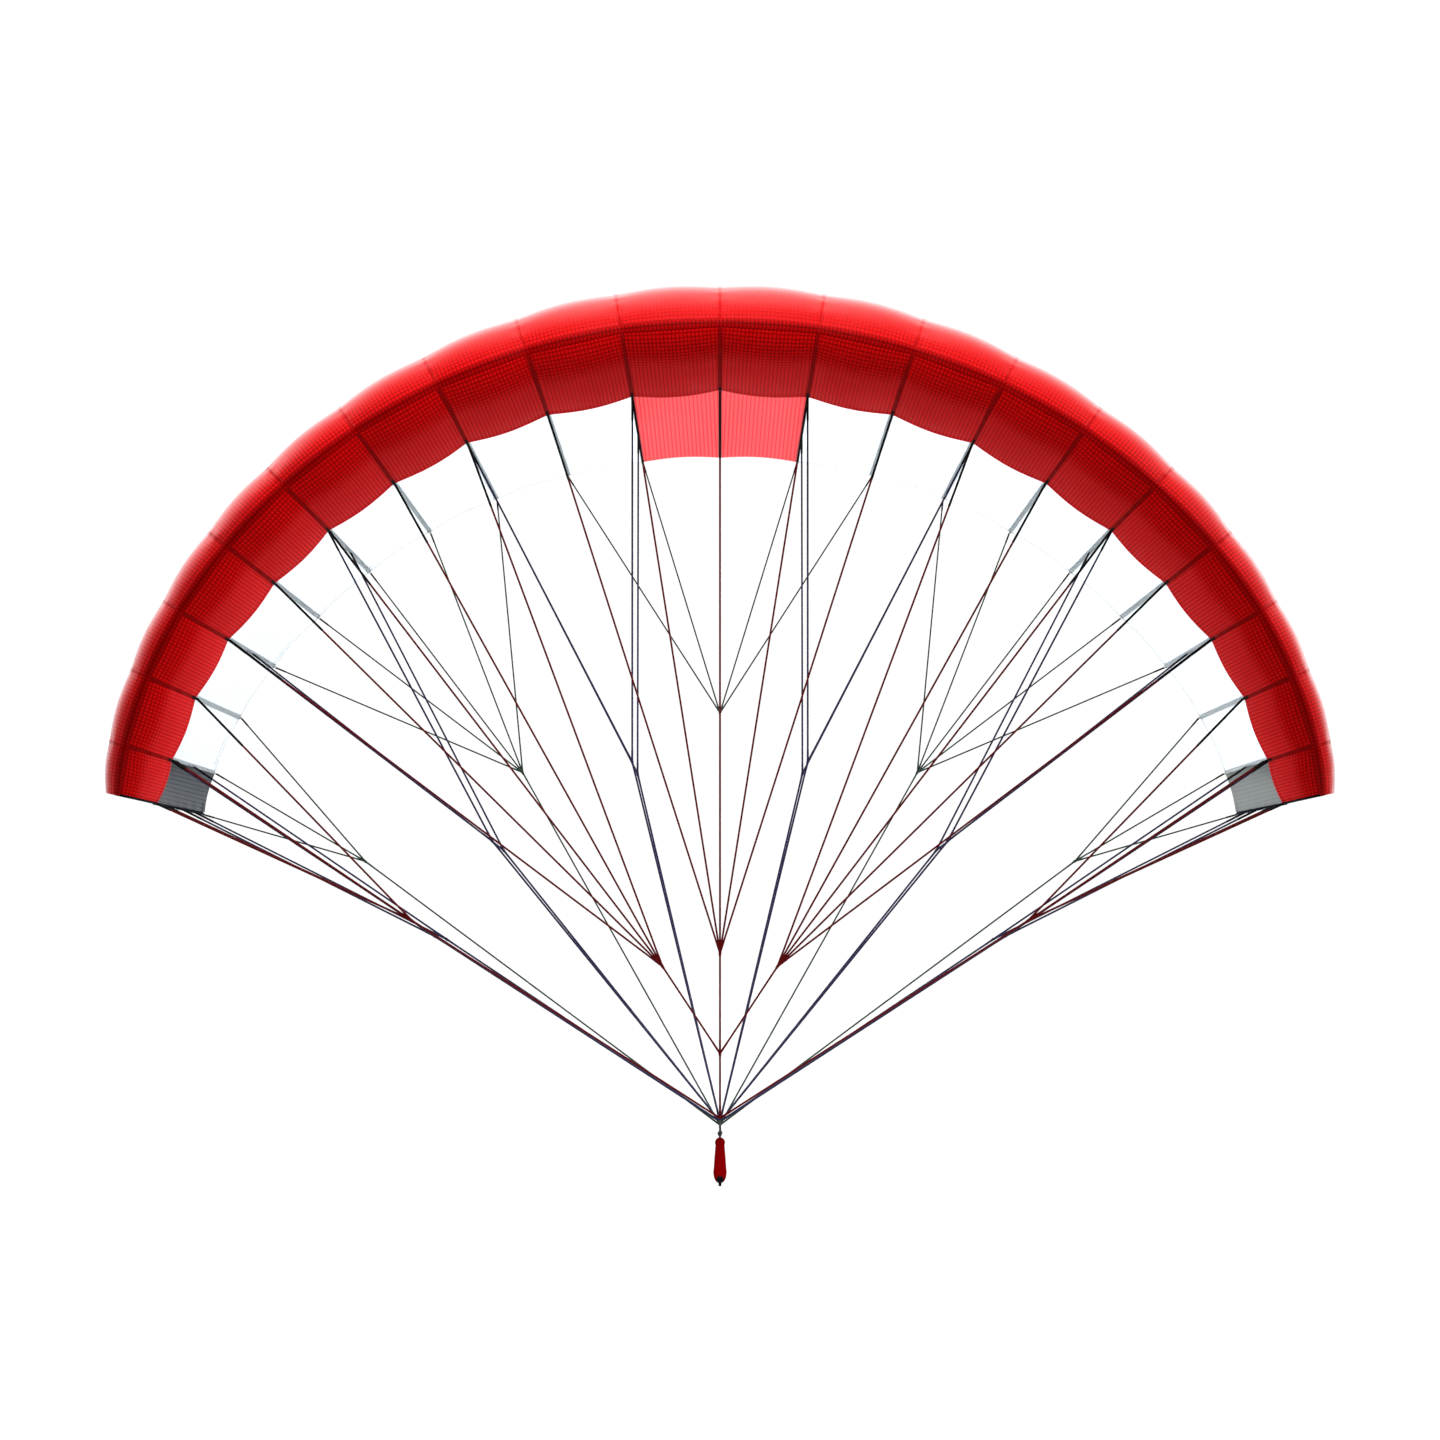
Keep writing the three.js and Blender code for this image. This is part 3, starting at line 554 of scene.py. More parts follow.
def bay_panel(kind, bay):
    """One panel over all the cells of a bay, with the UV maps side by side and the hem's thickness."""
    skin = LOWER if kind == "nose" else UPPER
    cells = BAYS[bay]
    chord = float(CHORD[[rib_row(c) for c in (cells[0], cells[-1] + 1)]].mean())
    x = panel_rows(kind, chord)
    x = x[::-1] if skin == LOWER else x
    t = np.linspace(0, 1, CELL_COLUMNS + 1)
    grids = [cell_grid(c, x, t if c == cells[0] else t[1:], skin) for c in cells]
    points, weave, edge = (np.concatenate(parts, axis=1) for parts in zip(*grids))
    hemmed = (edge[..., 1] < HEM_WIDTH * 1.02) & (kind != "crown")
    return points, weave, edge, np.where(hemmed, HEM_SKIN, SKIN)


PANEL_FINISH = {"crown": (BRIGHT_RED, "canopy_red"), "nose": (DEEP_RED, "canopy_dark_red")}
# the tip bays' grey: painted shade on the left, painted light on the right
REAR_FINISH = {"middle": (LIGHT_RED, "canopy_light_red"), "left_5": (GREY_SHADED, "canopy_grey"),
               "right_5": (GREY_LIT, "canopy_grey")}
for kind in ("crown", "rear", "nose"):
    for bay in BAYS:
        points, weave, edge, thickness = bay_panel(kind, bay)
        finish, slot = PANEL_FINISH.get(kind) or REAR_FINISH.get(bay, (WHITE, "canopy_white"))
        node = f"{kind}_{bay}"
        part = shell_part(points, thickness, {"weave": weave, "edge": edge})
        piece = add_parts(f"{node}_cloth", [part], finish)
        finish_piece(piece, [node])

# %% [markdown]
# ## Ribs
# A rib is a flat wall of stiffer cloth that holds two cells' upper skins at their shape. Every rib closes
# the nose. Every second one also has fins, which reach down to the middle lines, with hollows between.
# A rib is a grid: columns run from the upper skin to the lower edge, and rows from the nose to the tail.

# %% Rib outlines
STATION_X = {"nose": NOSE_END, "nose_rear": 0.33, "second": 0.45, "tip_second": 0.6, "third": 0.75,
             "tip_third": 0.87, "trail": 1.0}
STATION_HEIGHT = {"nose_rear": -0.065, "second": 0.0, "tip_second": -0.045, "third": 0.0,
                  "tip_third": -0.01, "trail": -TRAIL_DROP}
RIB_INSET = 1.15 * MM  # a rib stops this far inside the skins
RIB_TAIL = 9 * MM  # a rib's depth at its rear end


def rib_kind(number):
    """The corners of a rib's lower edge, how far its hollows rise, and how square their shoulders are."""
    if abs(number) == TIP:
        return ("nose", "nose_rear", "tip_second", "tip_third", "trail"), 0.3, 2
    if abs(number) == TIP - 1:
        return ("nose", "nose_rear", "second", "third", "trail"), 0.6, 2
    if number % 2:
        return ("nose", "second", "third", "trail"), 0.6, 2
    return ("nose", "trail"), 0.88, 6


def station_corner(number, name):
    """Where a line's tab is sewn: distance aft and distance from the hub."""
    k = rib_row(number)
    if name == "nose":
        return tuple(float(v) for v in section(number, np.array(NOSE_END), LOWER))
    return FRONT_Y + SWEEP[k] + STATION_X[name] * CHORD[k], LEAD[k] + STATION_HEIGHT[name] * CHORD[k]


def rib_edges(number, x):
    """Distances from the hub of a rib's upper and lower edges at chord fractions x. Between two corners
    the lower edge is straight + rise * (1 - |2t - 1|^flat) * (upper edge - straight)."""
    corners, rise, flat = rib_kind(number)
    upper = section(number, x, UPPER)[1] - RIB_INSET
    lower = section(number, np.minimum(x, NOSE_END), LOWER)[1] + RIB_INSET
    for front, rear in zip(corners, corners[1:]):
        here = (x >= STATION_X[front]) & (x <= STATION_X[rear])
        start, end = station_corner(number, front)[1], station_corner(number, rear)[1]
        start += RIB_INSET if front == "nose" else 0
        end -= RIB_TAIL if rear == "trail" else 0
        t = (x - STATION_X[front]) / (STATION_X[rear] - STATION_X[front])
        straight = start + (end - start) * t
        hollow = straight + rise * (1 - np.abs(2 * t - 1) ** flat) * (upper - straight)
        lower = np.where(here, hollow, lower)
    return upper, np.minimum(lower, upper)


RIB_REAR = 0.985  # a rib stops short of the trailing edge, inside the hem
RIB_COLUMNS = 14
RIB_SKIN = 0.8 * MM
RIB_HEM = 7 * MM
RIB_HEM_SKIN = 1.8 * MM


def rib_grid(number):
    """A rib in its plane. The last three columns are the fold of the hem along the lower edge."""
    nose_x = NOSE_END * np.linspace(0.02, 1, 30) ** 2
    x = np.concatenate([nose_x, np.linspace(NOSE_END, RIB_REAR, 90)[1:]])
    upper, lower = rib_edges(number, x)
    depth = upper - lower
    hem = np.minimum(RIB_HEM, depth * 0.3)
    share = np.linspace(0, 1, RIB_COLUMNS)[None, :] * ((depth - hem) / np.maximum(depth, 1e-6))[:, None]
    fold = 1 - (hem / np.maximum(depth, 1e-6))[:, None] * np.array([0.94, 0.5, 0.0])
    share = np.concatenate([share, fold], axis=1)
    r = upper[:, None] - depth[:, None] * share
    y = (FRONT_Y + SWEEP[rib_row(number)] + x * CHORD[rib_row(number)])[:, None]
    # the tip's upper edge leans inwards with the seam that it is sewn to
    lean = (rib_angle(number, x, UPPER) - TURN[rib_row(number)])[:, None]
    turn = TURN[rib_row(number)] + lean * (1 - share)
    edge = depth[:, None, None] * pairs(share, 1 - share)
    hemmed = (edge[..., 1] < RIB_HEM * 1.02) & (x[:, None] > NOSE_END)
    return in_space(turn, y, r), pairs(y, r), edge, np.where(hemmed, RIB_HEM_SKIN, RIB_SKIN)


for number in RIB_NUMBERS.tolist():
    points, weave, edge, thickness = rib_grid(number)
    node = f"rib_{side_name(number)}"
    finish, slot = (TIP_CLOTH, "canopy_grey") if abs(number) == TIP else (RIB_CLOTH, "rib_cloth")
    part = shell_part(points, thickness, {"weave": weave, "edge": edge})
    piece = add_parts(f"{node}_cloth", [part], finish)
    finish_piece(piece, [node])

# %% [markdown]
# ## Tapes and seams
# Seams are what make a canopy look sewn. They could be painted on the panels, but a seam is several
# layers thick and its edges catch the light, so each is a narrow strip of its own. It is worked out on the
# same surface as the cloth, so that it lies on it. First come the finishes: woven tape has fine slanting
# ribs, and a folded seam has painted shade along its edges. The leading edge's band is cut from ripstop,
# with painted light on its upper edge.

# %% Tape finishes
TAPE_BLUR = 0.2 * MM  # how softly the two tones of a tape meet
BORDER_BLUR = 0.3 * MM


def tape(name, body, dark, dark_from=0.0, rib_pitch=1.4 * MM, shaded_border=0.0, light_through=0.0, fuzz=0.0):
    """Woven tape or a folded seam: fine ribs slant across it, and past dark_from it has its darker tone.
    Further than border from its middle the folded edges are darkened with painted shade."""
    material, tree = start_finish(name)
    across, along = uv_axes(tree, "weave")
    slant = calc(tree, "ADD", across, along)
    ribs = threads(tree, slant, rib_pitch, rib_pitch * 0.6)
    base = body
    if dark_from:
        past = ramp(tree, across, dark_from - TAPE_BLUR, dark_from + TAPE_BLUR)
        base = blend_colour(tree, past, body, dark)
    patches = cloud(tree, 40.0, low=0.0, high=0.18)
    shade = calc(tree, "ADD", calc(tree, "MULTIPLY", ribs, 0.35), patches)
    # painted shade along the folded edges
    if shaded_border:
        from_middle = calc(tree, "ABSOLUTE", across)
        folded = ramp(tree, from_middle, shaded_border - BORDER_BLUR, shaded_border + BORDER_BLUR)
        shade = calc(tree, "MAXIMUM", shade, folded)
    cloth = blend_colour(tree, shade, base, dark)
    bump = add(tree, "Bump", {"Strength": 0.5, "Distance": 0.2 * MM, "Height": ribs})
    surface = add(tree, "BsdfPrincipled", {"Base Color": cloth, "Roughness": 0.6, "Normal": bump,
                                           "Specular IOR Level": 0.02})
    add_cloth_output(tree, surface, cloth, bump, light_through, fuzz)
    return material


# the leading edge's band: dark red, with painted light on its upper edge
SEAM_RED = ripstop("leading_edge_seam", colour(170, 3, 4), colour(112, 0, 1), 0.0, 1.0, 1.0, shine=0.02,
                   lit_upper_edge=(4 * MM, 8.5 * MM, colour(222, 10, 12), colour(144, 4, 6)))
# the nose's rib seams: painted shade along their folded edges
RIB_SEAM_RED = tape("rib_seam_red", colour(150, 5, 6), colour(106, 1, 2), shaded_border=3.6 * MM)
CROWN_SEAM_RED = tape("crown_seam_red", colour(196, 12, 14), colour(140, 5, 7), fuzz=1.35)
LIGHT_SEAM = tape("light_red_seam", colour(240, 96, 102), colour(206, 58, 64), light_through=0.35)
WHITE_SEAM = tape("white_seam", colour(242, 246, 247), colour(214, 220, 223), light_through=0.35)
GREY_TAPE = tape("two_tone_tape", colour(244, 248, 249), colour(218, 225, 228), 4 * MM, light_through=0.55)
BLACK_TAPE = tape("black_webbing", colour(20, 20, 22), colour(8, 8, 9), 0.0, 1.1 * MM)
print("tape finishes", [m.name for m in bpy.data.materials if "seam" in m.name or "tape" in m.name])

# %% [markdown]
# ## Leading edge seam
# The upper and the lower skin meet at the leading edge, where a band of the canopy's own cloth is folded
# round the edge and sewn to both. It could be a tube along the edge, but a real band lies on the skins, so
# its rows are lines of the two skins at set heights over and under the edge, lifted by its own thickness.

# %% Leading edge seam
LEAD_SEAM = 8.5 * MM  # half the band's height
SEAM_ROWS = np.linspace(-1.25, 0.85, 11)  # a little more of it lies under the edge than over it
BAND_SKIN = 1.0 * MM
BAND_LIFT = 0.7 * MM
BAND_DOME = 0.9 * MM  # the folded edges inside make the band bulge


def lead_seam_x(number, share):
    """Chord fraction of a point of the band: where the skin is share * half its height over the leading
    edge. Upper skin: (height * peak / crown)^2. Lower: end * (1 - sqrt(1 - (height / nose)^2))."""
    k = rib_row(number)
    height = abs(share) * LEAD_SEAM
    if share >= 0:
        return (height * CROWN_PEAK / CROWN[k]) ** 2
    return NOSE_END * (1 - math.sqrt(1 - (height / NOSE[k]) ** 2))


def lead_seam_row(share):
    """One spanwise row of the band over all the cells."""
    t = np.linspace(0, 1, CELL_COLUMNS + 1)
    skin = UPPER if share >= 0 else LOWER
    parts = []
    for cell in CELLS:
        x = (lead_seam_x(cell, share) + lead_seam_x(cell + 1, share)) / 2
        parts.append(cell_grid(cell, [x], t if cell == -TIP else t[1:], skin)[0][0])
    return np.concatenate(parts)


band = np.stack([lead_seam_row(share) for share in SEAM_ROWS])
band_along = distance_along(band[len(band) // 2])
from_middle = np.linspace(-1, 1, len(SEAM_ROWS))
band_uv = pairs((from_middle * LEAD_SEAM)[:, None], band_along[None, :])
band = band + grid_normals(band) * (BAND_LIFT + BAND_DOME * (1 - from_middle**2))[:, None, None]
lead_seam = add_parts("leading_edge_seam", [shell_part(band, BAND_SKIN, {"weave": band_uv})], SEAM_RED)
finish_piece(lead_seam)
print("leading edge seam", round(float(band_along[-1]), 2), "m")

# %% [markdown]
# ## Seams over the ribs, tapes under them
# Each rib is sewn into a flat seam between the panels, so a low domed strip runs over every rib. Under the
# rear panels a two-tone tape beside each rib takes the pull of its lines, and the tips' lower corners are
# bound in black. A strip's points are found on the cells to its left and right, at set distances from the
# rib, so it follows the cloth. The strips of one kind are one mesh.

# %% Strips along a rib
def strip_columns(number, x, skin, offsets):
    """Points on the skin at signed distances from a rib (left negative), for rows x: each side's points
    come from that side's cell."""
    sides = []
    for cell, chosen in ((number - 1, offsets[offsets < 0]), (number, offsets[offsets >= 0])):
        if len(chosen) == 0:
            continue
        ends = [in_space(rib_angle(n, x, skin), *section(n, x, skin)) for n in (cell, cell + 1)]
        t = chosen[None, :] / np.linalg.norm(ends[1] - ends[0], axis=-1)[:, None]
        sides.append(cell_grid(cell, x, t + 1 if cell < number else t, skin)[0])
    return np.concatenate(sides, axis=1)


def seam_strip(number, x, skin, offsets, dome, lift):
    """A strip along a rib's seam, with its UVs. dome is the extra height of each column."""
    points = strip_columns(number, x, skin, offsets)
    points = points + grid_normals(points) * (dome[None, :, None] + lift)
    return points, pairs(offsets[None, :], distance_along(points[:, 0])[:, None])


# %% Seams and tapes
STRIP_SKIN = 0.6 * MM
SEAM_ACROSS = 4.6 * MM * np.array([-1, -0.6, -0.2, 0.2, 0.6, 1])
SEAM_DOME = 0.5 * MM * np.array([0, 0.7, 1, 1, 0.7, 0])
SEAM_LIFT = 0.6 * MM
CROSS_HALF = 7 * MM  # half the width of the seam between the crown and the rear panels
TAPE_ACROSS = np.array([0.4, 3, 5.6, 8]) * MM
TAPE_DROP = 0.9 * MM
BINDING_ACROSS = np.array([0.1, 2, 4, 6]) * MM
NOSE_ROWS = (NOSE_END * (1 - np.cos(np.linspace(0.04, math.pi / 2, 24))))[::-1]
INNER_RIBS = range(-TIP + 1, TIP)
FLAT = np.zeros(4)


def rear_rows(number):
    """Chord fractions of a rear seam's rows: it starts behind the seam across the top."""
    return np.linspace(CROWN_END + CROSS_HALF / CHORD[rib_row(number)], 0.998, 64)


def inward(number, offsets):
    """Distances from a rib towards the middle of the kite, as signed offsets in rising order."""
    return np.sort(-math.copysign(1, number) * offsets)


nose_seams = [seam_strip(n, NOSE_ROWS, LOWER, SEAM_ACROSS, SEAM_DOME, SEAM_LIFT) for n in INNER_RIBS]
crown_seams = [seam_strip(n, CROWN_ROWS[1:], UPPER, 0.8 * SEAM_ACROSS, 0 * SEAM_DOME, 0.5 * MM)
               for n in INNER_RIBS]
rear_seams = {n: seam_strip(n, rear_rows(n), UPPER, SEAM_ACROSS, SEAM_DOME, SEAM_LIFT) for n in INNER_RIBS}
under_tapes = []
for number in INNER_RIBS:
    if abs(number) < 2:
        continue
    across = inward(number, TAPE_ACROSS)
    points, uv = seam_strip(number, rear_rows(number), UPPER, across, FLAT, -TAPE_DROP)
    uv[..., 0] = np.abs(across)[None, :]  # the lighter tone lies next to the rib on both sides
    under_tapes.append((points, uv))
tip_bindings = [seam_strip(n, NOSE_ROWS, LOWER, inward(n, BINDING_ACROSS), FLAT, 1.6 * MM)
                for n in (-TIP, TIP)]
SEAM_KINDS = [
    ("nose_rib_seams", nose_seams, RIB_SEAM_RED, "seam_red"),
    ("crown_rib_seams", crown_seams, CROWN_SEAM_RED, "seam_red"),
    ("rear_rib_seams", [rear_seams[n] for n in INNER_RIBS if n], WHITE_SEAM, "seam_tape"),
    ("rear_middle_seam", [rear_seams[0]], LIGHT_SEAM, "canopy_light_red"),
    ("rear_inner_tapes", under_tapes, GREY_TAPE, "seam_tape"),
    ("tip_bindings", tip_bindings, BLACK_TAPE, "cord_black"),
]
for name, strips, finish, slot in SEAM_KINDS:
    parts = [shell_part(points, STRIP_SKIN, {"weave": uv}) for points, uv in strips]
    finish_piece(add_parts(name, parts, finish))
    print(name, len(strips), "strips")

# %% [markdown]
# ## Seam across the top
# The crown and rear panels overlap in a flat seam across the top: two rows of stitches over a low ridge,
# as ridge height * (1 - s^2) with s from edge to edge. It is one band for each cell, so that it dips to
# every rib as the cloth does.

# %% Seam between crown and rear panels
CROSS_STEPS = np.linspace(-1, 1, 7)
CROSS_RIDGE = 0.5 * MM * (1 - CROSS_STEPS**2) + SEAM_LIFT
CROSS_STITCHES = [1, 5]  # the rows that are stitched
cross_parts = []
cross_paths = []
for cell in CELLS:
    chord = float(CHORD[[rib_row(cell), rib_row(cell + 1)]].mean())
    x = CROWN_END + CROSS_STEPS * CROSS_HALF / chord
    points, weave, _ = cell_grid(cell, x, np.linspace(0, 1, CELL_COLUMNS + 1), UPPER)
    points = points + grid_normals(points) * CROSS_RIDGE[:, None, None]
    cross_parts.append(shell_part(points, STRIP_SKIN, {"weave": weave}))
    cross_paths += list(zip(points[CROSS_STITCHES], grid_normals(points)[CROSS_STITCHES]))
finish_piece(add_parts("crown_cross_seam", cross_parts, CROWN_SEAM_RED))
print("cross seam", len(cross_parts), "bands,", round(2 * CROSS_HALF, 3), "m wide")

# %% [markdown]
# ## Stitches
# A stitch is a tiny grain of thread: here a stretched diamond of eight faces, repeated along every seam at
# the pitch of a real machine's long stitch. Thousands of them cost little, and up close they catch the
# light as thread does.

# %% Stitch rows
STITCH_PITCH = 5.0 * MM
STITCH = (1.7 * MM, 0.45 * MM, 0.35 * MM)  # half length, half width, half height
DIAMOND = np.array([(1, 0, 0), (-1, 0, 0), (0, 1, 0), (0, -1, 0), (0, 0, 1), (0, 0, -1)], float)
DIAMOND_FACES = np.array([(0, 2, 4), (2, 1, 4), (1, 3, 4), (3, 0, 4),
                          (2, 0, 5), (1, 2, 5), (3, 1, 5), (0, 3, 5)])
STITCH_LIFT = 0.4 * MM
EDGE_COLUMNS = (1, 4)  # the columns of a seam strip that are stitched


def stitch_row(path, normals, lift=STITCH_LIFT):
    """Diamonds along a path: centres at even distances, turned to the path's direction and normal. Each is
    centre + diamond * (forward * half length, across * half width, normal * half height)."""
    along = distance_along(path)
    places = np.arange(STITCH_PITCH / 2, along[-1], STITCH_PITCH)

    def spread(values):
        return np.stack([np.interp(places, along, values[:, i]) for i in range(3)], axis=-1)

    normal = unit(spread(normals))
    forward = unit(spread(np.gradient(path, axis=0)))
    across = unit(np.cross(normal, forward))
    axes = np.stack([forward * STITCH[0], across * STITCH[1], normal * STITCH[2]], axis=1)
    centres = spread(path) + normal * lift
    vertices = centres[:, None] + np.einsum("vk,nkc->nvc", DIAMOND, axes)
    faces = DIAMOND_FACES[None] + 6 * np.arange(len(places))[:, None, None]
    uv = np.repeat(np.stack([places * 0, places], axis=-1), 6, axis=0)
    return vertices.reshape(-1, 3), [faces.reshape(-1, 3)], {"weave": uv}


def thread(name, body, dark):
    """Sewing thread: a fine twist along it."""
    material, tree = start_finish(name)
    place = add(tree, "TexCoord", output=3)
    twist = add(tree, "TexNoise", {"Vector": place, "Scale": 900.0, "Detail": 1.0}, 0)
    surface = add(tree, "BsdfPrincipled", {"Base Color": blend_colour(tree, twist, body, dark),
                                           "Roughness": 0.6, "Specular IOR Level": 0.08})
    add_output(tree, surface)
    return material


RED_THREAD = thread("red_thread", colour(120, 2, 4), colour(80, 0, 1))
BRIGHT_THREAD = thread("bright_red_thread", colour(212, 22, 25), colour(182, 12, 14))
GREY_THREAD = thread("grey_thread", colour(212, 217, 220), colour(178, 184, 188))
band_normals = grid_normals(band)
red_rows = [stitch_row(band[i], band_normals[i], 0.6 * MM) for i in (2, 8)]
bright_rows = []
grey_rows = []
for strips, rows in ((nose_seams, red_rows), (crown_seams, bright_rows), (rear_seams.values(), grey_rows)):
    for points, _ in strips:
        normals = grid_normals(points)
        rows += [stitch_row(points[:, c], normals[:, c]) for c in EDGE_COLUMNS]
bright_rows += [stitch_row(path, normals) for path, normals in cross_paths]
grey_rows += [stitch_row(points[:, 1], -grid_normals(points)[:, 1]) for points, _ in under_tapes]


def hem_stitches(kind, bay):
    """One row of stitches on each face of a panel's hem, where the folded edge ends."""
    points, _, edge, _ = bay_panel(kind, bay)
    row = int(np.argmin(np.abs(edge[:, 0, 1] - HEM_WIDTH * 0.8)))
    normals = grid_normals(points)[row]
    return [stitch_row(points[row], face * normals, HEM_SKIN / 2 + 0.2 * MM) for face in (-1, 1)]


for bay in BAYS:
    grey_rows += hem_stitches("rear", bay)
    red_rows += hem_stitches("nose", bay)
for name, rows, finish, slot in (("red_stitches", red_rows, RED_THREAD, "seam_red"),
                                 ("crown_stitches", bright_rows, BRIGHT_THREAD, "seam_red"),
                                 ("grey_stitches", grey_rows, GREY_THREAD, "seam_tape")):
    finish_piece(add_parts(name, rows, finish, smooth=False))
print("stitches", sum(len(r[0]) for r in red_rows + bright_rows + grey_rows) // 6)

# %% [markdown]
# ## The bridle
# A few lines from the bar branch and branch again until one ends at every attachment. Lines are coated
# braid, one colour for each row, sleeved in black where they are tied to the canopy. A line under pull is
# straight, so a line is a tube between two points, and a fork is an overhand knot.

# %% Knots and fans
KNOT_PLACES = {  # metres, right side: across, aft, up
    "front_foot": (0, 0.225, 0.065), "front_fork": (0, 0.215, 0.210),
    "front_middle": (0, 0.195, 0.436), "front_side": (0.131, 0.205, 0.406),
    "front_tip": (0.713, 0.265, 0.510), "middle_foot": (0, 0.239, 0.056),
    "second_inner": (0.207, 0.305, 0.882), "second_outer": (0.534, 0.305, 0.695),
    "second_tip": (0.668, 0.315, 0.474), "third_inner": (0.201, 0.455, 0.867),
    "third_outer": (0.525, 0.455, 0.680), "third_tip": (0.660, 0.455, 0.466),
    "rear_foot": (0, 0.253, 0.047), "rear_middle": (0, 0.655, 1.040),
    "rear_side": (0.502, 0.645, 0.886), "rear_tip": (0.888, 0.595, 0.659),
}
FANS = {  # row: (knot, the knot or foot below it, {station: rib numbers on one side})
    "front": [("front_fork", "front_foot", {}), ("front_middle", "front_fork", {"nose": (0, 1, 2)}),
              ("front_side", "front_fork", {"nose": (3, 4, 5, 6, 7)}),
              ("front_tip", "front_foot", {"nose": (8, 9, 10), "nose_rear": (9, 10)})],
    "middle": [("second_inner", "middle_foot", {"second": (1, 3)}),
               ("second_outer", "middle_foot", {"second": (5, 7)}),
               ("second_tip", "middle_foot", {"second": (9,), "tip_second": (10,)}),
               ("third_inner", "middle_foot", {"third": (1, 3)}),
               ("third_outer", "middle_foot", {"third": (5, 7)}),
               ("third_tip", "middle_foot", {"third": (9,), "tip_third": (10,)})],
    "rear": [("rear_middle", "rear_foot", {"trail": (1, 2)}),
             ("rear_side", "rear_foot", {"trail": (3, 4, 5, 6, 7)}),
             ("rear_tip", "rear_foot", {"trail": (8, 9, 10)})],
}
LINE_RADIUS = {"front": 2.35 * MM, "middle": 2.35 * MM, "rear": 2.0 * MM}
LINE_DROP = 6 * MM  # a line starts this far under its corner


def knot_at(name, side):
    """A knot's place on the left (-1) or right (1) side."""
    return np.array(KNOT_PLACES[name], float) * (side, 1, 1)


def line_top(number, station):
    """Where a line is tied on: under its tab, in the rib's plane."""
    y, r = station_corner(number, station)
    return in_space(TURN[rib_row(number)], y, r - LINE_DROP)


def fan_lines(row):
    """Every line of a row as (bottom, top, at_canopy, rib number, station), middle ones once."""
    lines = []
    for knot, below, tops in FANS[row]:
        sides = (1,) if KNOT_PLACES[knot][0] == 0 else (-1, 1)
        for side in sides:
            start = knot_at(knot, side)
            lines.append((knot_at(below, side), start, False, None, None))
            for station, numbers in tops.items():
                both = sorted({s * n for n in numbers for s in (-1, 1)})
                chosen = [n for n in both if len(sides) == 1 or n * side > 0]
                lines += [(start, line_top(n, station), True, n, station) for n in chosen]
    return lines


ROW_LINES = {row: fan_lines(row) for row in FANS}
for row, lines in ROW_LINES.items():
    total = sum(float(np.linalg.norm(top - bottom)) for bottom, top, *_ in lines)
    print(row, len(lines), "lines,", round(total, 2), "m of line")

# %% [markdown]
# ## Braid on a tube
# A line could be a curve with a bevel, but its braid has to follow it. So a tube is worked out as a circle
# carried along a path, with a UV map in metres: one way round, and the distance along the line from its
# top. A tight overhand knot looks like a trefoil, the closed path that such a knot makes.

# %% Tubes
def ring_part(rings, around, along, poles=None):
    """Rings of points joined into a skin, as a part of a mesh. With two poles both ends are closed to a
    point; without them the last ring is joined to the first. UV: distance round, distance along."""
    count, sides = rings.shape[:2]
    index = np.arange(count * sides).reshape(count, sides)
    if poles is None:
        index = np.concatenate([index, index[:1]])
    beside = np.roll(index, -1, axis=1)
    faces = [np.stack([index[:-1], beside[:-1], beside[1:], index[1:]], axis=-1).reshape(-1, 4)]
    vertices, uv = rings.reshape(-1, 3), pairs(around[None, :], along[:, None]).reshape(-1, 2)
    if poles is not None:
        low, high = np.full(sides, count * sides), np.full(sides, count * sides + 1)
        faces.append(np.stack([low, beside[0], index[0]], axis=-1))
        faces.append(np.stack([high, index[-1], beside[-1]], axis=-1))
        vertices = np.concatenate([vertices, poles])
        uv = np.concatenate([uv, [[0, along[0]], [0, along[-1]]]])
    return vertices, faces, {"weave": uv}


def circle(first, second, sides):
    """The angles of a circle's points, and the points: cos a * first + sin a * second."""
    angle = np.linspace(0, 2 * math.pi, sides, endpoint=False)
    return angle, first * np.cos(angle)[:, None] + second * np.sin(angle)[:, None]


def tube(path, radius, sides=10, closed=False, start_along=0.0):
    """A circle carried along a path: centre + radius * (cos a * n1 + sin a * n2). The first normal turns
    as little as it can: it is a fixed direction with its part along the path taken away."""
    path = np.asarray(path, float)
    step = (np.roll(path, -1, 0) - np.roll(path, 1, 0)) if closed else np.gradient(path, axis=0)
    forward = unit(step)
    steady = np.eye(3)[int(np.argmin(np.abs(forward).mean(axis=0)))]
    first = unit(steady - forward * (forward @ steady)[:, None])
    angle, ring = circle(first[:, None], np.cross(forward, first)[:, None], sides)
    radius = np.broadcast_to(np.asarray(radius, float), len(path))
    rings = path[:, None] + ring * radius[:, None, None]
    poles = None
    if not closed:
        poles = path[[0, -1]] + forward[[0, -1]] * radius[[0, -1], None] * [[-0.5], [0.5]]
    return ring_part(rings, angle * float(radius.mean()), start_along + distance_along(path), poles)


def overhand_knot(centre, axis, radius, size):
    """A trefoil: (sin a + 2 sin 2a, cos a - 2 cos 2a, -1.6 sin 3a) * size / 3, its third axis along the
    line, carried by a tube. It is what a tight overhand knot looks like."""
    a = np.linspace(0, 2 * math.pi, 48, endpoint=False)
    loop = np.stack([np.sin(a) + 2 * np.sin(2 * a), np.cos(a) - 2 * np.cos(2 * a), -1.6 * np.sin(3 * a)], -1)
    forward = unit(np.asarray(axis, float))
    across = unit(np.cross(forward, [0.0, 1.0, 0.0]) + [1e-9, 0, 0])
    basis = np.stack([across, np.cross(forward, across), forward])
    return tube(centre + (loop * size / 3) @ basis, radius, 8, closed=True, start_along=1.0)


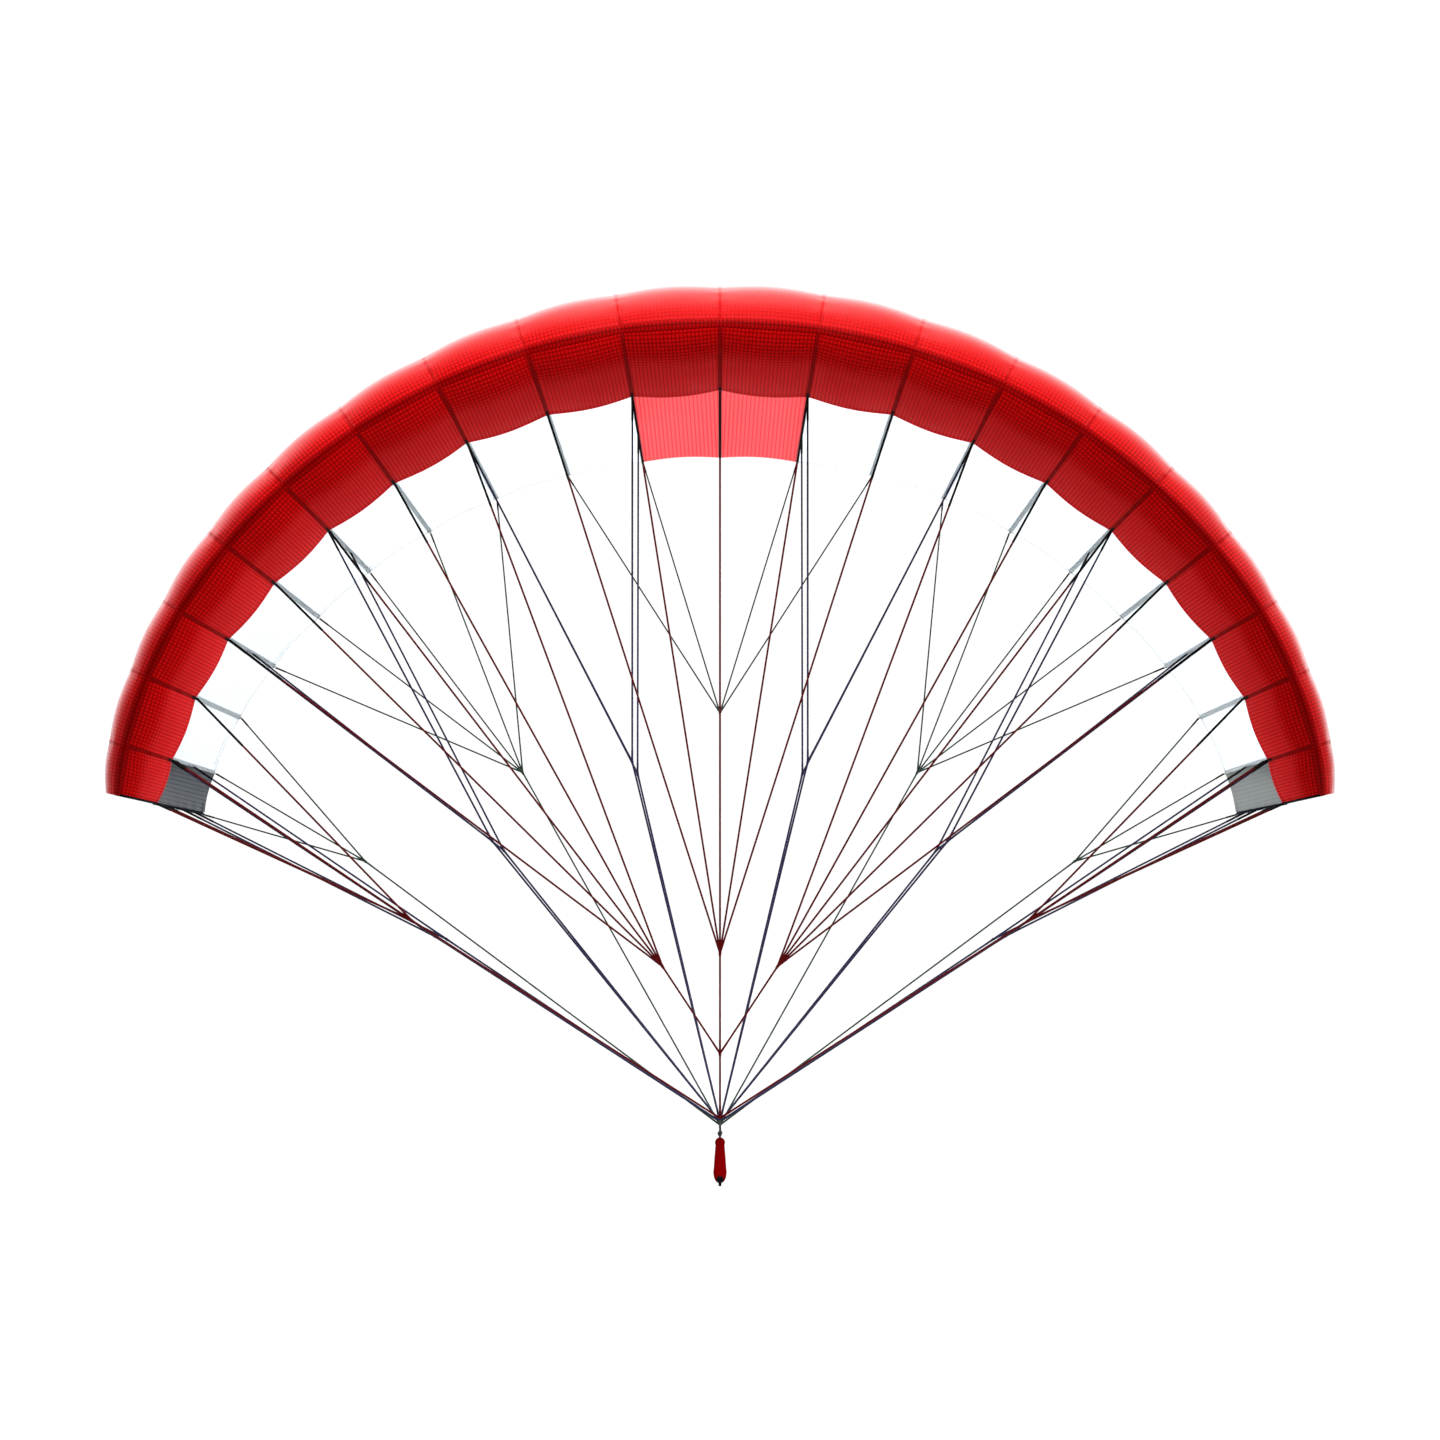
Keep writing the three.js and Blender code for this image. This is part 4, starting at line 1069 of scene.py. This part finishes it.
def knot_pair(place, axis, gap, large, small):
    """Two overhand knots, the small one a gap behind the large one; each is (cord radius, size)."""
    return [overhand_knot(place, axis, *large), overhand_knot(place - unit(axis) * gap, axis, *small)]


# %% [markdown]
# ## Colours of the braid
# The braid's strands run round a line both ways, so two sets of slanting threads are multiplied. Where a
# line is tied to the canopy it wears a sleeve, painted black as the canopy's shade on it. The sleeve
# could be a piece of its own, but it is as thin as a coat of paint, so it is the same tube, a little
# thicker there, in painted black.

# %% Braid finish
BRAID_PITCH = 2.2 * MM
BRAID_SLANT = 1.6  # how far a strand runs along the line for each step round it
SLEEVE_AND_SHADE = {"front": 150 * MM, "middle": 60 * MM, "rear": 30 * MM}  # a line's top: black painted shade of the canopy, on a sleeve a little thicker
SLEEVE_SHADE_FADE = 2 * MM
SLEEVE_SHADE_BLACK = colour(14, 13, 15)


def braid(name, body, flecks, shaded_sleeve=0.0):
    """Coated braid. Two sets of slanting strands cross; the strands on top are lighter. The first
    "sleeve" metres from the top are black: painted shade of the canopy on the line."""
    material, tree = start_finish(name)
    around, along = uv_axes(tree, "weave")
    slant = calc(tree, "MULTIPLY", around, BRAID_SLANT)
    one = threads(tree, calc(tree, "ADD", along, slant), BRAID_PITCH, BRAID_PITCH * 0.9)
    other = threads(tree, calc(tree, "SUBTRACT", along, slant), BRAID_PITCH, BRAID_PITCH * 0.9)
    strands = calc(tree, "MULTIPLY", one, other)
    cloth = blend_colour(tree, calc(tree, "MULTIPLY", strands, 0.55), body, flecks)
    if shaded_sleeve:
        # painted shade: the line's top is black where the canopy shades it
        black = ramp(tree, along, shaded_sleeve, shaded_sleeve + SLEEVE_SHADE_FADE, 1.0, 0.0)
        cloth = blend_colour(tree, black, cloth, SLEEVE_SHADE_BLACK)
    bump = add(tree, "Bump", {"Strength": 0.6, "Distance": 0.3 * MM, "Height": strands})
    add_output(tree, add(tree, "BsdfPrincipled", {"Base Color": cloth, "Roughness": 0.55, "Normal": bump,
                                                  "Specular IOR Level": 0.1}))
    return material


BRAID_COLOURS = {"front": (colour(78, 0, 2), colour(114, 5, 9)),
                 "middle": (colour(38, 38, 70), colour(62, 62, 100)),
                 "rear": (colour(44, 66, 52), colour(70, 94, 78))}
BRAIDS = {row: braid(f"{row}_line_braid", *tones, SLEEVE_AND_SHADE[row]) for row, tones in BRAID_COLOURS.items()}
print("braids", [material.name for material in BRAIDS.values()])

# %% [markdown]
# ## The three rows of lines
# Each row of lines is one piece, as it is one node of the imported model. A line is drawn from its top down,
# is a little thicker in its sleeve and in the splice at its lower end, and every fork is two small knots.

# %% Lines of each row
LINE_STEPS = 24
TIP_SHADED_SLEEVE = 30 * MM  # the front lines of the last two ribs have short sleeves, with short painted shade
SLEEVE_SWELL = 0.2
FORK_SPLICE = 30 * MM
SPLICE_SWELL = 0.12
FORK_KNOTS = (4.5 * MM, (1.15 * MM, 3.0 * MM), (1.0 * MM, 2.4 * MM))  # gap, then cord radius and size


def line_tube(row, bottom, top, at_canopy, number):
    """A taut line, drawn from its top down so that its UV map starts there."""
    length = float(np.linalg.norm(top - bottom))
    short = row == "front" and at_canopy and abs(number) >= TIP - 1
    skipped = SLEEVE_AND_SHADE[row] - TIP_SHADED_SLEEVE if short else 0.0  # of the finish's own painted shade
    shaded_sleeve = SLEEVE_AND_SHADE[row] - skipped if at_canopy else 0.0
    splice = length - FORK_SPLICE
    stops = [0, splice, splice + 5 * MM, length]
    if shaded_sleeve:
        stops += [shaded_sleeve, shaded_sleeve + 1 * MM]
    share = np.unique(np.concatenate([np.linspace(0, length, LINE_STEPS), stops])) / length
    radius = LINE_RADIUS[row] * (1 + SPLICE_SWELL * (share > 1.001 - FORK_SPLICE / length)
                                 + SLEEVE_SWELL * (share * length < shaded_sleeve + 0.1 * MM))
    start = skipped if at_canopy else 1.0  # lines without a sleeve start past the painted shade
    return tube(top + (bottom - top) * share[:, None], radius, start_along=start)


for row, lines in ROW_LINES.items():
    parts = [line_tube(row, *line[:4]) for line in lines]
    # a knot in the middle has the same place on both sides, and so comes once
    knots = {tuple(knot_at(knot, side)): knot_at(below, side)
             for knot, below, _ in FANS[row] for side in (-1, 1)}
    for place, below in knots.items():
        parts += knot_pair(np.array(place), place - below, *FORK_KNOTS)
    finish_piece(add_parts(f"bridle_{row}_lines", parts, BRAIDS[row]), [f"bridle_{row}"])
    print(row, "knots", len(knots))

# %% [markdown]
# ## Tabs
# Each line is looped through a short piece of black webbing. At the nose the webbing runs forward along
# the rib's seam and is sewn down. At a fin and at the trailing edge it is folded round the rib's hem, one
# end sewn to each face of the rib, and the fold under the hem holds the line.

# %% Webbing tabs
TAB_WIDTH = 5.5 * MM
TAB_SKIN = 0.9 * MM
TAB_LENGTH = 28 * MM  # sewn down in front of a nose corner
TAB_LIFT = 2.6 * MM  # it lies on the seam
TAB_DROP = LINE_DROP + 1.5 * MM
TAB_LOOP = 2.2 * MM
TAB_RISE = 14 * MM  # sewn to a rib's faces above a fin's corner
RIB_HALF = 1.5 * MM  # from a rib's middle to the webbing on its hem
TAB_NECK = 0.6 * MM  # half the gap where the two ends are sewn together
TAB_NECK_DROP = 2.0 * MM  # how far that is under the hem
TAB_GAP = 0.35  # radians of the loop on each side of the neck that stay open
TAB_END_RISE = 10 * MM  # the end behind a nose corner goes up this far


def ribbon(path, width_axis, width, thickness):
    """Flat webbing along a path: three columns across, closed round its rim."""
    offsets = np.array([-0.5, 0.0, 0.5]) * width
    points = path[:, None] + width_axis * offsets[None, :, None]
    return shell_part(points, thickness, {"weave": pairs(offsets[None, :], distance_along(path)[:, None])})


def across_rib(number):
    """The direction straight across a rib's plane."""
    turn = TURN[rib_row(number)]
    return np.array([math.cos(turn), 0.0, -math.sin(turn)])


def nose_tab(number):
    """The path of a nose tab in the rib's plane: along the seam to the corner, round a small loop that
    holds the line, and up again behind the corner. Gives points and the direction of its width."""
    y, r = station_corner(number, "nose")
    around = np.linspace(0, math.pi, 9)
    x = np.linspace(NOSE_END - TAB_LENGTH / CHORD[rib_row(number)], NOSE_END, 6)
    front_y, front_r = section(number, x, LOWER)
    low = r - TAB_DROP + TAB_LOOP
    path_y = np.concatenate([front_y, y - TAB_LOOP * np.cos(around), np.full(5, y + TAB_LOOP)])
    path_r = np.concatenate([front_r - TAB_LIFT, low - TAB_LOOP * np.sin(around),
                             np.linspace(low + 1 * MM, r + TAB_END_RISE, 5)])
    return in_space(TURN[rib_row(number)], path_y, path_r), across_rib(number)


def fin_tab(number, station):
    """The path of a tab round a rib's hem: down one face, together under the hem, round the line in a
    loop, and up the other face. Above the loop the half width eases from the rib's to the neck's."""
    y, r = station_corner(number, station)
    y -= TAB_WIDTH / 2 if station == "trail" else 0
    face_r = np.concatenate([np.linspace(r + TAB_RISE, r, 5), r - TAB_NECK_DROP * np.array([0.3, 0.6, 1.0])])
    half = RIB_HALF + (TAB_NECK - RIB_HALF) * np.clip((r - face_r) / TAB_NECK_DROP, 0, 1)
    around = np.linspace(TAB_GAP, 2 * math.pi - TAB_GAP, 15)
    across = np.concatenate([-half, -TAB_LOOP * np.sin(around), half[::-1]])
    loop_r = r - TAB_DROP + TAB_LOOP + TAB_LOOP * np.cos(around)
    path = in_space(TURN[rib_row(number)], y, np.concatenate([face_r, loop_r, face_r[::-1]]))
    return path + across_rib(number) * across[:, None], np.array([0.0, 1.0, 0.0])


tab_parts = []
for row, lines in ROW_LINES.items():
    for bottom, top, at_canopy, number, station in lines:
        if at_canopy:
            path, width_axis = nose_tab(number) if station == "nose" else fin_tab(number, station)
            tab_parts.append(ribbon(path, width_axis, TAB_WIDTH, TAB_SKIN))
finish_piece(add_parts("line_tabs", tab_parts, BLACK_TAPE))
print("tabs", len(tab_parts))

# %% [markdown]
# ## The bar
# The bar is moulded: a flared front end with a black cap, a slim waist, and a collar behind a groove at
# the rear end. It could be modelled by hand, but everything on it is round, so it is one profile turned
# round the bar's axis. The profile starts as straight lines between a few measured radii, which are then
# smoothed; the grooves are bell curves taken away from it.

# %% Bar surfaces
BAR_TILT = math.radians(3)
BAR_AXIS = np.array([0, math.cos(BAR_TILT), math.sin(BAR_TILT)])
BAR_SIDE = np.array([1.0, 0, 0])
BAR_UP = np.cross(BAR_SIDE, BAR_AXIS)
GRIP_HALF = 220 * MM
GRIP_STEPS = 221
# (share of the length from the front, radius in mm)
GRIP_PROFILE = np.array([(0, 7.2), (0.02, 9.4), (0.05, 11.4), (0.1, 13.0), (0.18, 13.8), (0.3, 13.0),
                         (0.6, 11.8), (0.93, 10.0), (0.975, 10.6), (1, 9.8)])
SMOOTHINGS = 6
COLLAR = (5 * MM, 11.4 * MM)  # length and radius
HAND_RINGS = (-0.185, -0.176, -0.167, 0.150, 0.159, 0.168)  # where the hand's edges rest


def turned(distance, radius, sides=96):
    """A profile turned round the bar's axis: axis * distance + radius * (cos a * side - sin a * up), with
    each end closed to a point."""
    centres = BAR_AXIS * distance[:, None]
    angle, ring = circle(BAR_SIDE, -BAR_UP, sides)
    rings = centres[:, None] + ring[None] * radius[:, None, None]
    return ring_part(rings, angle * float(radius.max()), distance, centres[[0, -1]])


def smooth_profile(at, size, count):
    """A profile through given points: straight between them, then averaged with its neighbours a few
    times, a quarter of each and half of itself, so that corners become rounds."""
    x = np.linspace(at[0], at[-1], count)
    y = np.interp(x, at, size)
    for _ in range(SMOOTHINGS):
        y[1:-1] = (y[:-2] + 2 * y[1:-1] + y[2:]) / 4
    return x, y


def groove(distance, place, depth, width):
    """A round groove in a profile: depth * exp(-((distance - place) / width)^2)."""
    return depth * np.exp(-(((distance - place) / width) ** 2))


grip_share, grip_radius = smooth_profile(GRIP_PROFILE[:, 0], GRIP_PROFILE[:, 1] * MM, GRIP_STEPS)
grip_distance = 2 * GRIP_HALF * grip_share - GRIP_HALF
grip_radius = np.where(grip_distance > GRIP_HALF - COLLAR[0], COLLAR[1], grip_radius)
grip_radius = grip_radius - groove(grip_distance, GRIP_HALF - 9 * MM, 1.2 * MM, 3 * MM)
for place in HAND_RINGS:
    grip_radius = grip_radius - groove(grip_distance, place, 0.8 * MM, 1.6 * MM)
print("grip radii", [round(float(r), 4) for r in grip_radius[::44]])

# %% [markdown]
# ## Moulded plastic and rubber
# The grip is a soft dull plastic and the cap a harder one. Both have a fine pebbled grain from the mould,
# which is only a fraction of a millimetre deep, so it is bump in the finish and not shape, with a darker
# tone on it as painted shade.

# %% Bar finishes
def moulded(name, body, dark, grain, gloss, bump_depth):
    """Moulded soft plastic: fine grain in the bump, small changes of gloss, and painted shade: a darker
    tone on the grain, by the same pattern as the bump."""
    material, tree = start_finish(name)
    place = add(tree, "TexCoord", output=3)
    pebble = add(tree, "TexVoronoi", {"Vector": place, "Scale": grain}, 0)
    pebbles = ramp(tree, pebble, 0.0, 0.6)
    # painted shade: the grain's pattern darkens the tone
    tone = blend_colour(tree, calc(tree, "MULTIPLY", pebbles, 0.3), body, dark)
    bump = add(tree, "Bump", {"Strength": 0.5, "Distance": bump_depth, "Height": pebbles})
    rough = ramp(tree, cloud(tree, 30.0), 0.0, 1.0, gloss, gloss + 0.12)
    add_output(tree, add(tree, "BsdfPrincipled", {"Base Color": tone, "Roughness": rough, "Normal": bump,
                                                  "Specular IOR Level": 0.0}))
    return material


GRIP_RED = moulded("grip_soft_red", colour(108, 1, 3), colour(46, 0, 1), 500.0, 0.5, 0.25 * MM)
CAP_BLACK = moulded("cap_black", colour(24, 24, 26), colour(12, 12, 13), 900.0, 0.4, 0.08 * MM)
CAP_REAR = -(GRIP_HALF + 0.3 * MM)
CAP_FRONT = CAP_REAR - 8 * MM
# (distance behind the front face, radius) in mm: a shallow dish, the flat face, and a rounded rim
CAP_PROFILE = np.array([(0.5, 0.4), (0.5, 3.0), (0, 3.4), (0, 5.6), (0.1, 6.1), (0.5, 6.6), (1.2, 6.8),
                        (7.8, 6.8), (8, 6.6)]) * MM
grip = add_parts("bar_grip_moulding", [turned(grip_distance, grip_radius)], GRIP_RED)
finish_piece(grip, ["bar_grip"])
cap_part = turned(CAP_FRONT + CAP_PROFILE[:, 0], CAP_PROFILE[:, 1], 64)
cap = add_parts("bar_cap_moulding", [cap_part], CAP_BLACK)
finish_piece(cap, ["bar_cap"])
print("bar", round(GRIP_HALF - CAP_FRONT, 4), "m")

# %% [markdown]
# ## Pigtail
# The pigtail is a doubled cord between the bar and the bridle's feet: its two strands leave the bar's rear
# end, pass through a stopper knot and spread to the front and the rear foot, where a thicker cord gathers
# the feet of the three rows. A strand is a parabola through three points, because it has to pass through
# the knot, with a little bow so that the two strands can be told apart.

# %% Pigtail
CORD_RADIUS = 1.7 * MM
GATHER_RADIUS = 2.6 * MM  # the cord that gathers the feet of the rows
FOOT_GAP = 8.3 * MM  # from the line through the feet to the middle of that cord
STRAND_BOW = 1.2 * MM
STOPPER_AT = 0.45  # share of the way from the bar to the front foot
STOPPER_KNOTS = (4 * MM, (1.8 * MM, 4.4 * MM), (1.5 * MM, 3.0 * MM))  # gap, then cord radius and size
front_foot, rear_foot = knot_at("front_foot", 1), knot_at("rear_foot", 1)
foot_line = unit(rear_foot - front_foot)
away = np.array([0, foot_line[2], -foot_line[1]])
front_end, rear_end = front_foot + away * FOOT_GAP, rear_foot + away * FOOT_GAP
pigtail_start = BAR_AXIS * (GRIP_HALF + 2 * MM)
stopper = pigtail_start + (front_end - pigtail_start) * STOPPER_AT


def bowed(a, b, c, bow, count=24):
    """A smooth strand through three points: the parabola a(1-t)(1-2t) + 4bt(1-t) + ct(2t-1), and a small
    bow to one side, half a sine wave."""
    t = np.linspace(0, 1, count)[:, None]
    return a * (1 - t) * (1 - 2 * t) + b * 4 * t * (1 - t) + c * t * (2 * t - 1) + bow * np.sin(math.pi * t)


strands = [bowed(pigtail_start, stopper, front_end, BAR_SIDE * STRAND_BOW),
           bowed(pigtail_start, stopper, rear_end, -BAR_SIDE * STRAND_BOW)]
gather = front_end + (rear_end - front_end) * np.linspace(-0.08, 1.08, 24)[:, None]
cord_parts = [tube(path, CORD_RADIUS, 12) for path in strands] + [tube(gather, GATHER_RADIUS, 12)]
cord_parts += knot_pair(stopper, front_end - pigtail_start, *STOPPER_KNOTS)
PIGTAIL_BRAID = braid("pigtail_braid", colour(44, 50, 48), colour(78, 86, 82))
finish_piece(add_parts("pigtail_cord", cord_parts, PIGTAIL_BRAID), ["pigtail"])
print("pigtail", [round(float(distance_along(path)[-1]), 3) for path in strands], "m")

# %% [markdown]
# ## Leash loop
# A short loop of webbing is stitched to the cap's face and hangs from it. Its path is a circle squeezed
# towards the stitched point, a teardrop, and the same flat webbing as a tab's is carried along it.

# %% Leash loop
LOOP_WIDTH = 6 * MM
LOOP_SKIN = 1.0 * MM
LOOP_REACH, LOOP_HALF_HEIGHT = 2.6 * MM, 6 * MM
LOOP_FORWARD, LOOP_DROP = 2.2 * MM, 5 * MM  # from the middle of the cap's face to the loop's middle
around = np.linspace(-0.5, 1.5, 33) * math.pi
squeeze = 0.5 + 0.5 * (1 - np.sin(around)) / 2
drop_y = -LOOP_REACH * np.cos(around) * squeeze - LOOP_FORWARD
drop_z = LOOP_HALF_HEIGHT * np.sin(around) - LOOP_DROP
loop_path = BAR_AXIS * CAP_FRONT + np.stack([0 * around, drop_y, drop_z], axis=-1)
leash_loop = add_parts("leash_loop", [ribbon(loop_path, BAR_SIDE, LOOP_WIDTH, LOOP_SKIN)], BLACK_TAPE)
finish_piece(leash_loop)
print("leash loop", round(float(distance_along(loop_path)[-1]), 3), "m round")

# %% [markdown]
# ## Floor
# The kite flies, so nothing of it touches the floor: a plain pale floor lies well below the bar. It ends
# a little way in front of the kite, and so sends no light up from the viewer's side.

# %% Floor
FLOOR_Z = -1.25
FLOOR_HALF = 60.0
FLOOR_FRONT = -2.2
floor_points = np.stack(np.meshgrid([-FLOOR_HALF, FLOOR_HALF], [FLOOR_FRONT, FLOOR_HALF]), axis=-1)
floor_points = np.concatenate([floor_points, np.full((2, 2, 1), FLOOR_Z)], axis=-1)
floor_finish, floor_tree = start_finish("pale_floor")
floor_patches = cloud(floor_tree, 0.4, low=0.396, high=0.41)
floor_colour = add(floor_tree, "CombineColor", {0: floor_patches, 1: floor_patches, 2: floor_patches})
add_output(floor_tree, add(floor_tree, "BsdfPrincipled", {"Base Color": floor_colour, "Roughness": 0.9,
                                                          "Specular IOR Level": 0.1}))
floor = add_mesh("pale_floor", floor_points, grid_faces(2, 2), {}, floor_finish, smooth=False)
print("floor at", FLOOR_Z)

# %% [markdown]
# ## Light
# The light is that of a white studio: a room that is white behind and above the kite and dim on the
# viewer's side, a big soft light from above that shines through the cloth, two low ones from behind and
# one from each side. A soft box in front of and above the leading edge lights the nose. The camera sees
# the room as even white, which a Light Path node tells apart from the room's light on the kite.

# %% Light
BRIGHT_SIDE = (0.0, 0.8, 0.6)
ROOM_DIM, ROOM_WHITE, ROOM_SEEN = 0.05, 1.15, 1.04
world = bpy.data.worlds.new("white_room")
bpy.context.scene.world = world
world.use_nodes = True
room_tree = world.node_tree
room_tree.nodes.clear()
direction = add(room_tree, "TexCoord", output=0)
facing = add(room_tree, "VectorMath", {0: direction, 1: BRIGHT_SIDE}, 1, operation="DOT_PRODUCT")
room_strength = ramp(room_tree, facing, -0.5, 0.6, ROOM_DIM, ROOM_WHITE)
room_light = add(room_tree, "Background", {"Color": (1, 1, 1, 1), "Strength": room_strength})
room_seen = add(room_tree, "Background", {"Color": (1, 1, 1, 1), "Strength": ROOM_SEEN})
seen = add(room_tree, "LightPath", output=0)
room = add(room_tree, "MixShader", {0: seen, 1: room_light, 2: room_seen})
room_tree.links.new(room, room_tree.nodes.new("ShaderNodeOutputWorld").inputs["Surface"])


def add_lamp(name, kind, energy, turn, place=(0, 0, 0)):
    """A lamp of a kind at a place, turned by these degrees round X and then round Z. Gives its data."""
    light = bpy.data.lights.new(name, kind)
    light.energy = energy
    lamp = bpy.data.objects.new(name, light)
    lamp.location = place
    lamp.rotation_euler = (math.radians(turn[0]), 0, math.radians(turn[1]))
    bpy.context.scene.collection.objects.link(lamp)
    return light


# strength, spread, height over the horizon, heading from behind towards the kite's left side, in degrees
SUNS = {"overhead_light": (3.5, 40, 90, 0), "rear_right_light": (1.5, 25, 12, -35),
        "rear_left_light": (0.8, 25, 12, 35), "right_light": (1.6, 30, 25, -110),
        "left_light": (1.5, 30, 30, 70)}
for name, (strength, spread, height, heading) in SUNS.items():
    light = add_lamp(name, "SUN", strength, (height - 90, heading))
    light.angle = math.radians(spread)
nose_box = add_lamp("nose_light", "AREA", 29.0, (64, 0), (0.0, -1.6, 2.5))
nose_box.size = 0.9
print("lights", [light.name for light in bpy.data.lights])

# %% [markdown]
# ## Camera
# The camera stands in front of the wing, level with the hub, and looks a little up at it, as a rider
# does. A standard lens keeps the far lines nearly as long as the near ones.

# %% Camera
camera_data = bpy.data.cameras.new("camera")
camera_data.lens, camera_data.sensor_width = 45.55, 36.0
camera_data.clip_end = 200.0
camera = bpy.data.objects.new("camera", camera_data)
camera.location = (0.0, -3.975, HUB_HEIGHT)
camera.rotation_euler = (math.radians(96.575), 0.0, 0.0)
bpy.context.scene.collection.objects.link(camera)
bpy.context.scene.camera = camera
bpy.context.scene.view_settings.view_transform = "Standard"
print("camera on the hub line,", camera_data.lens, "mm")
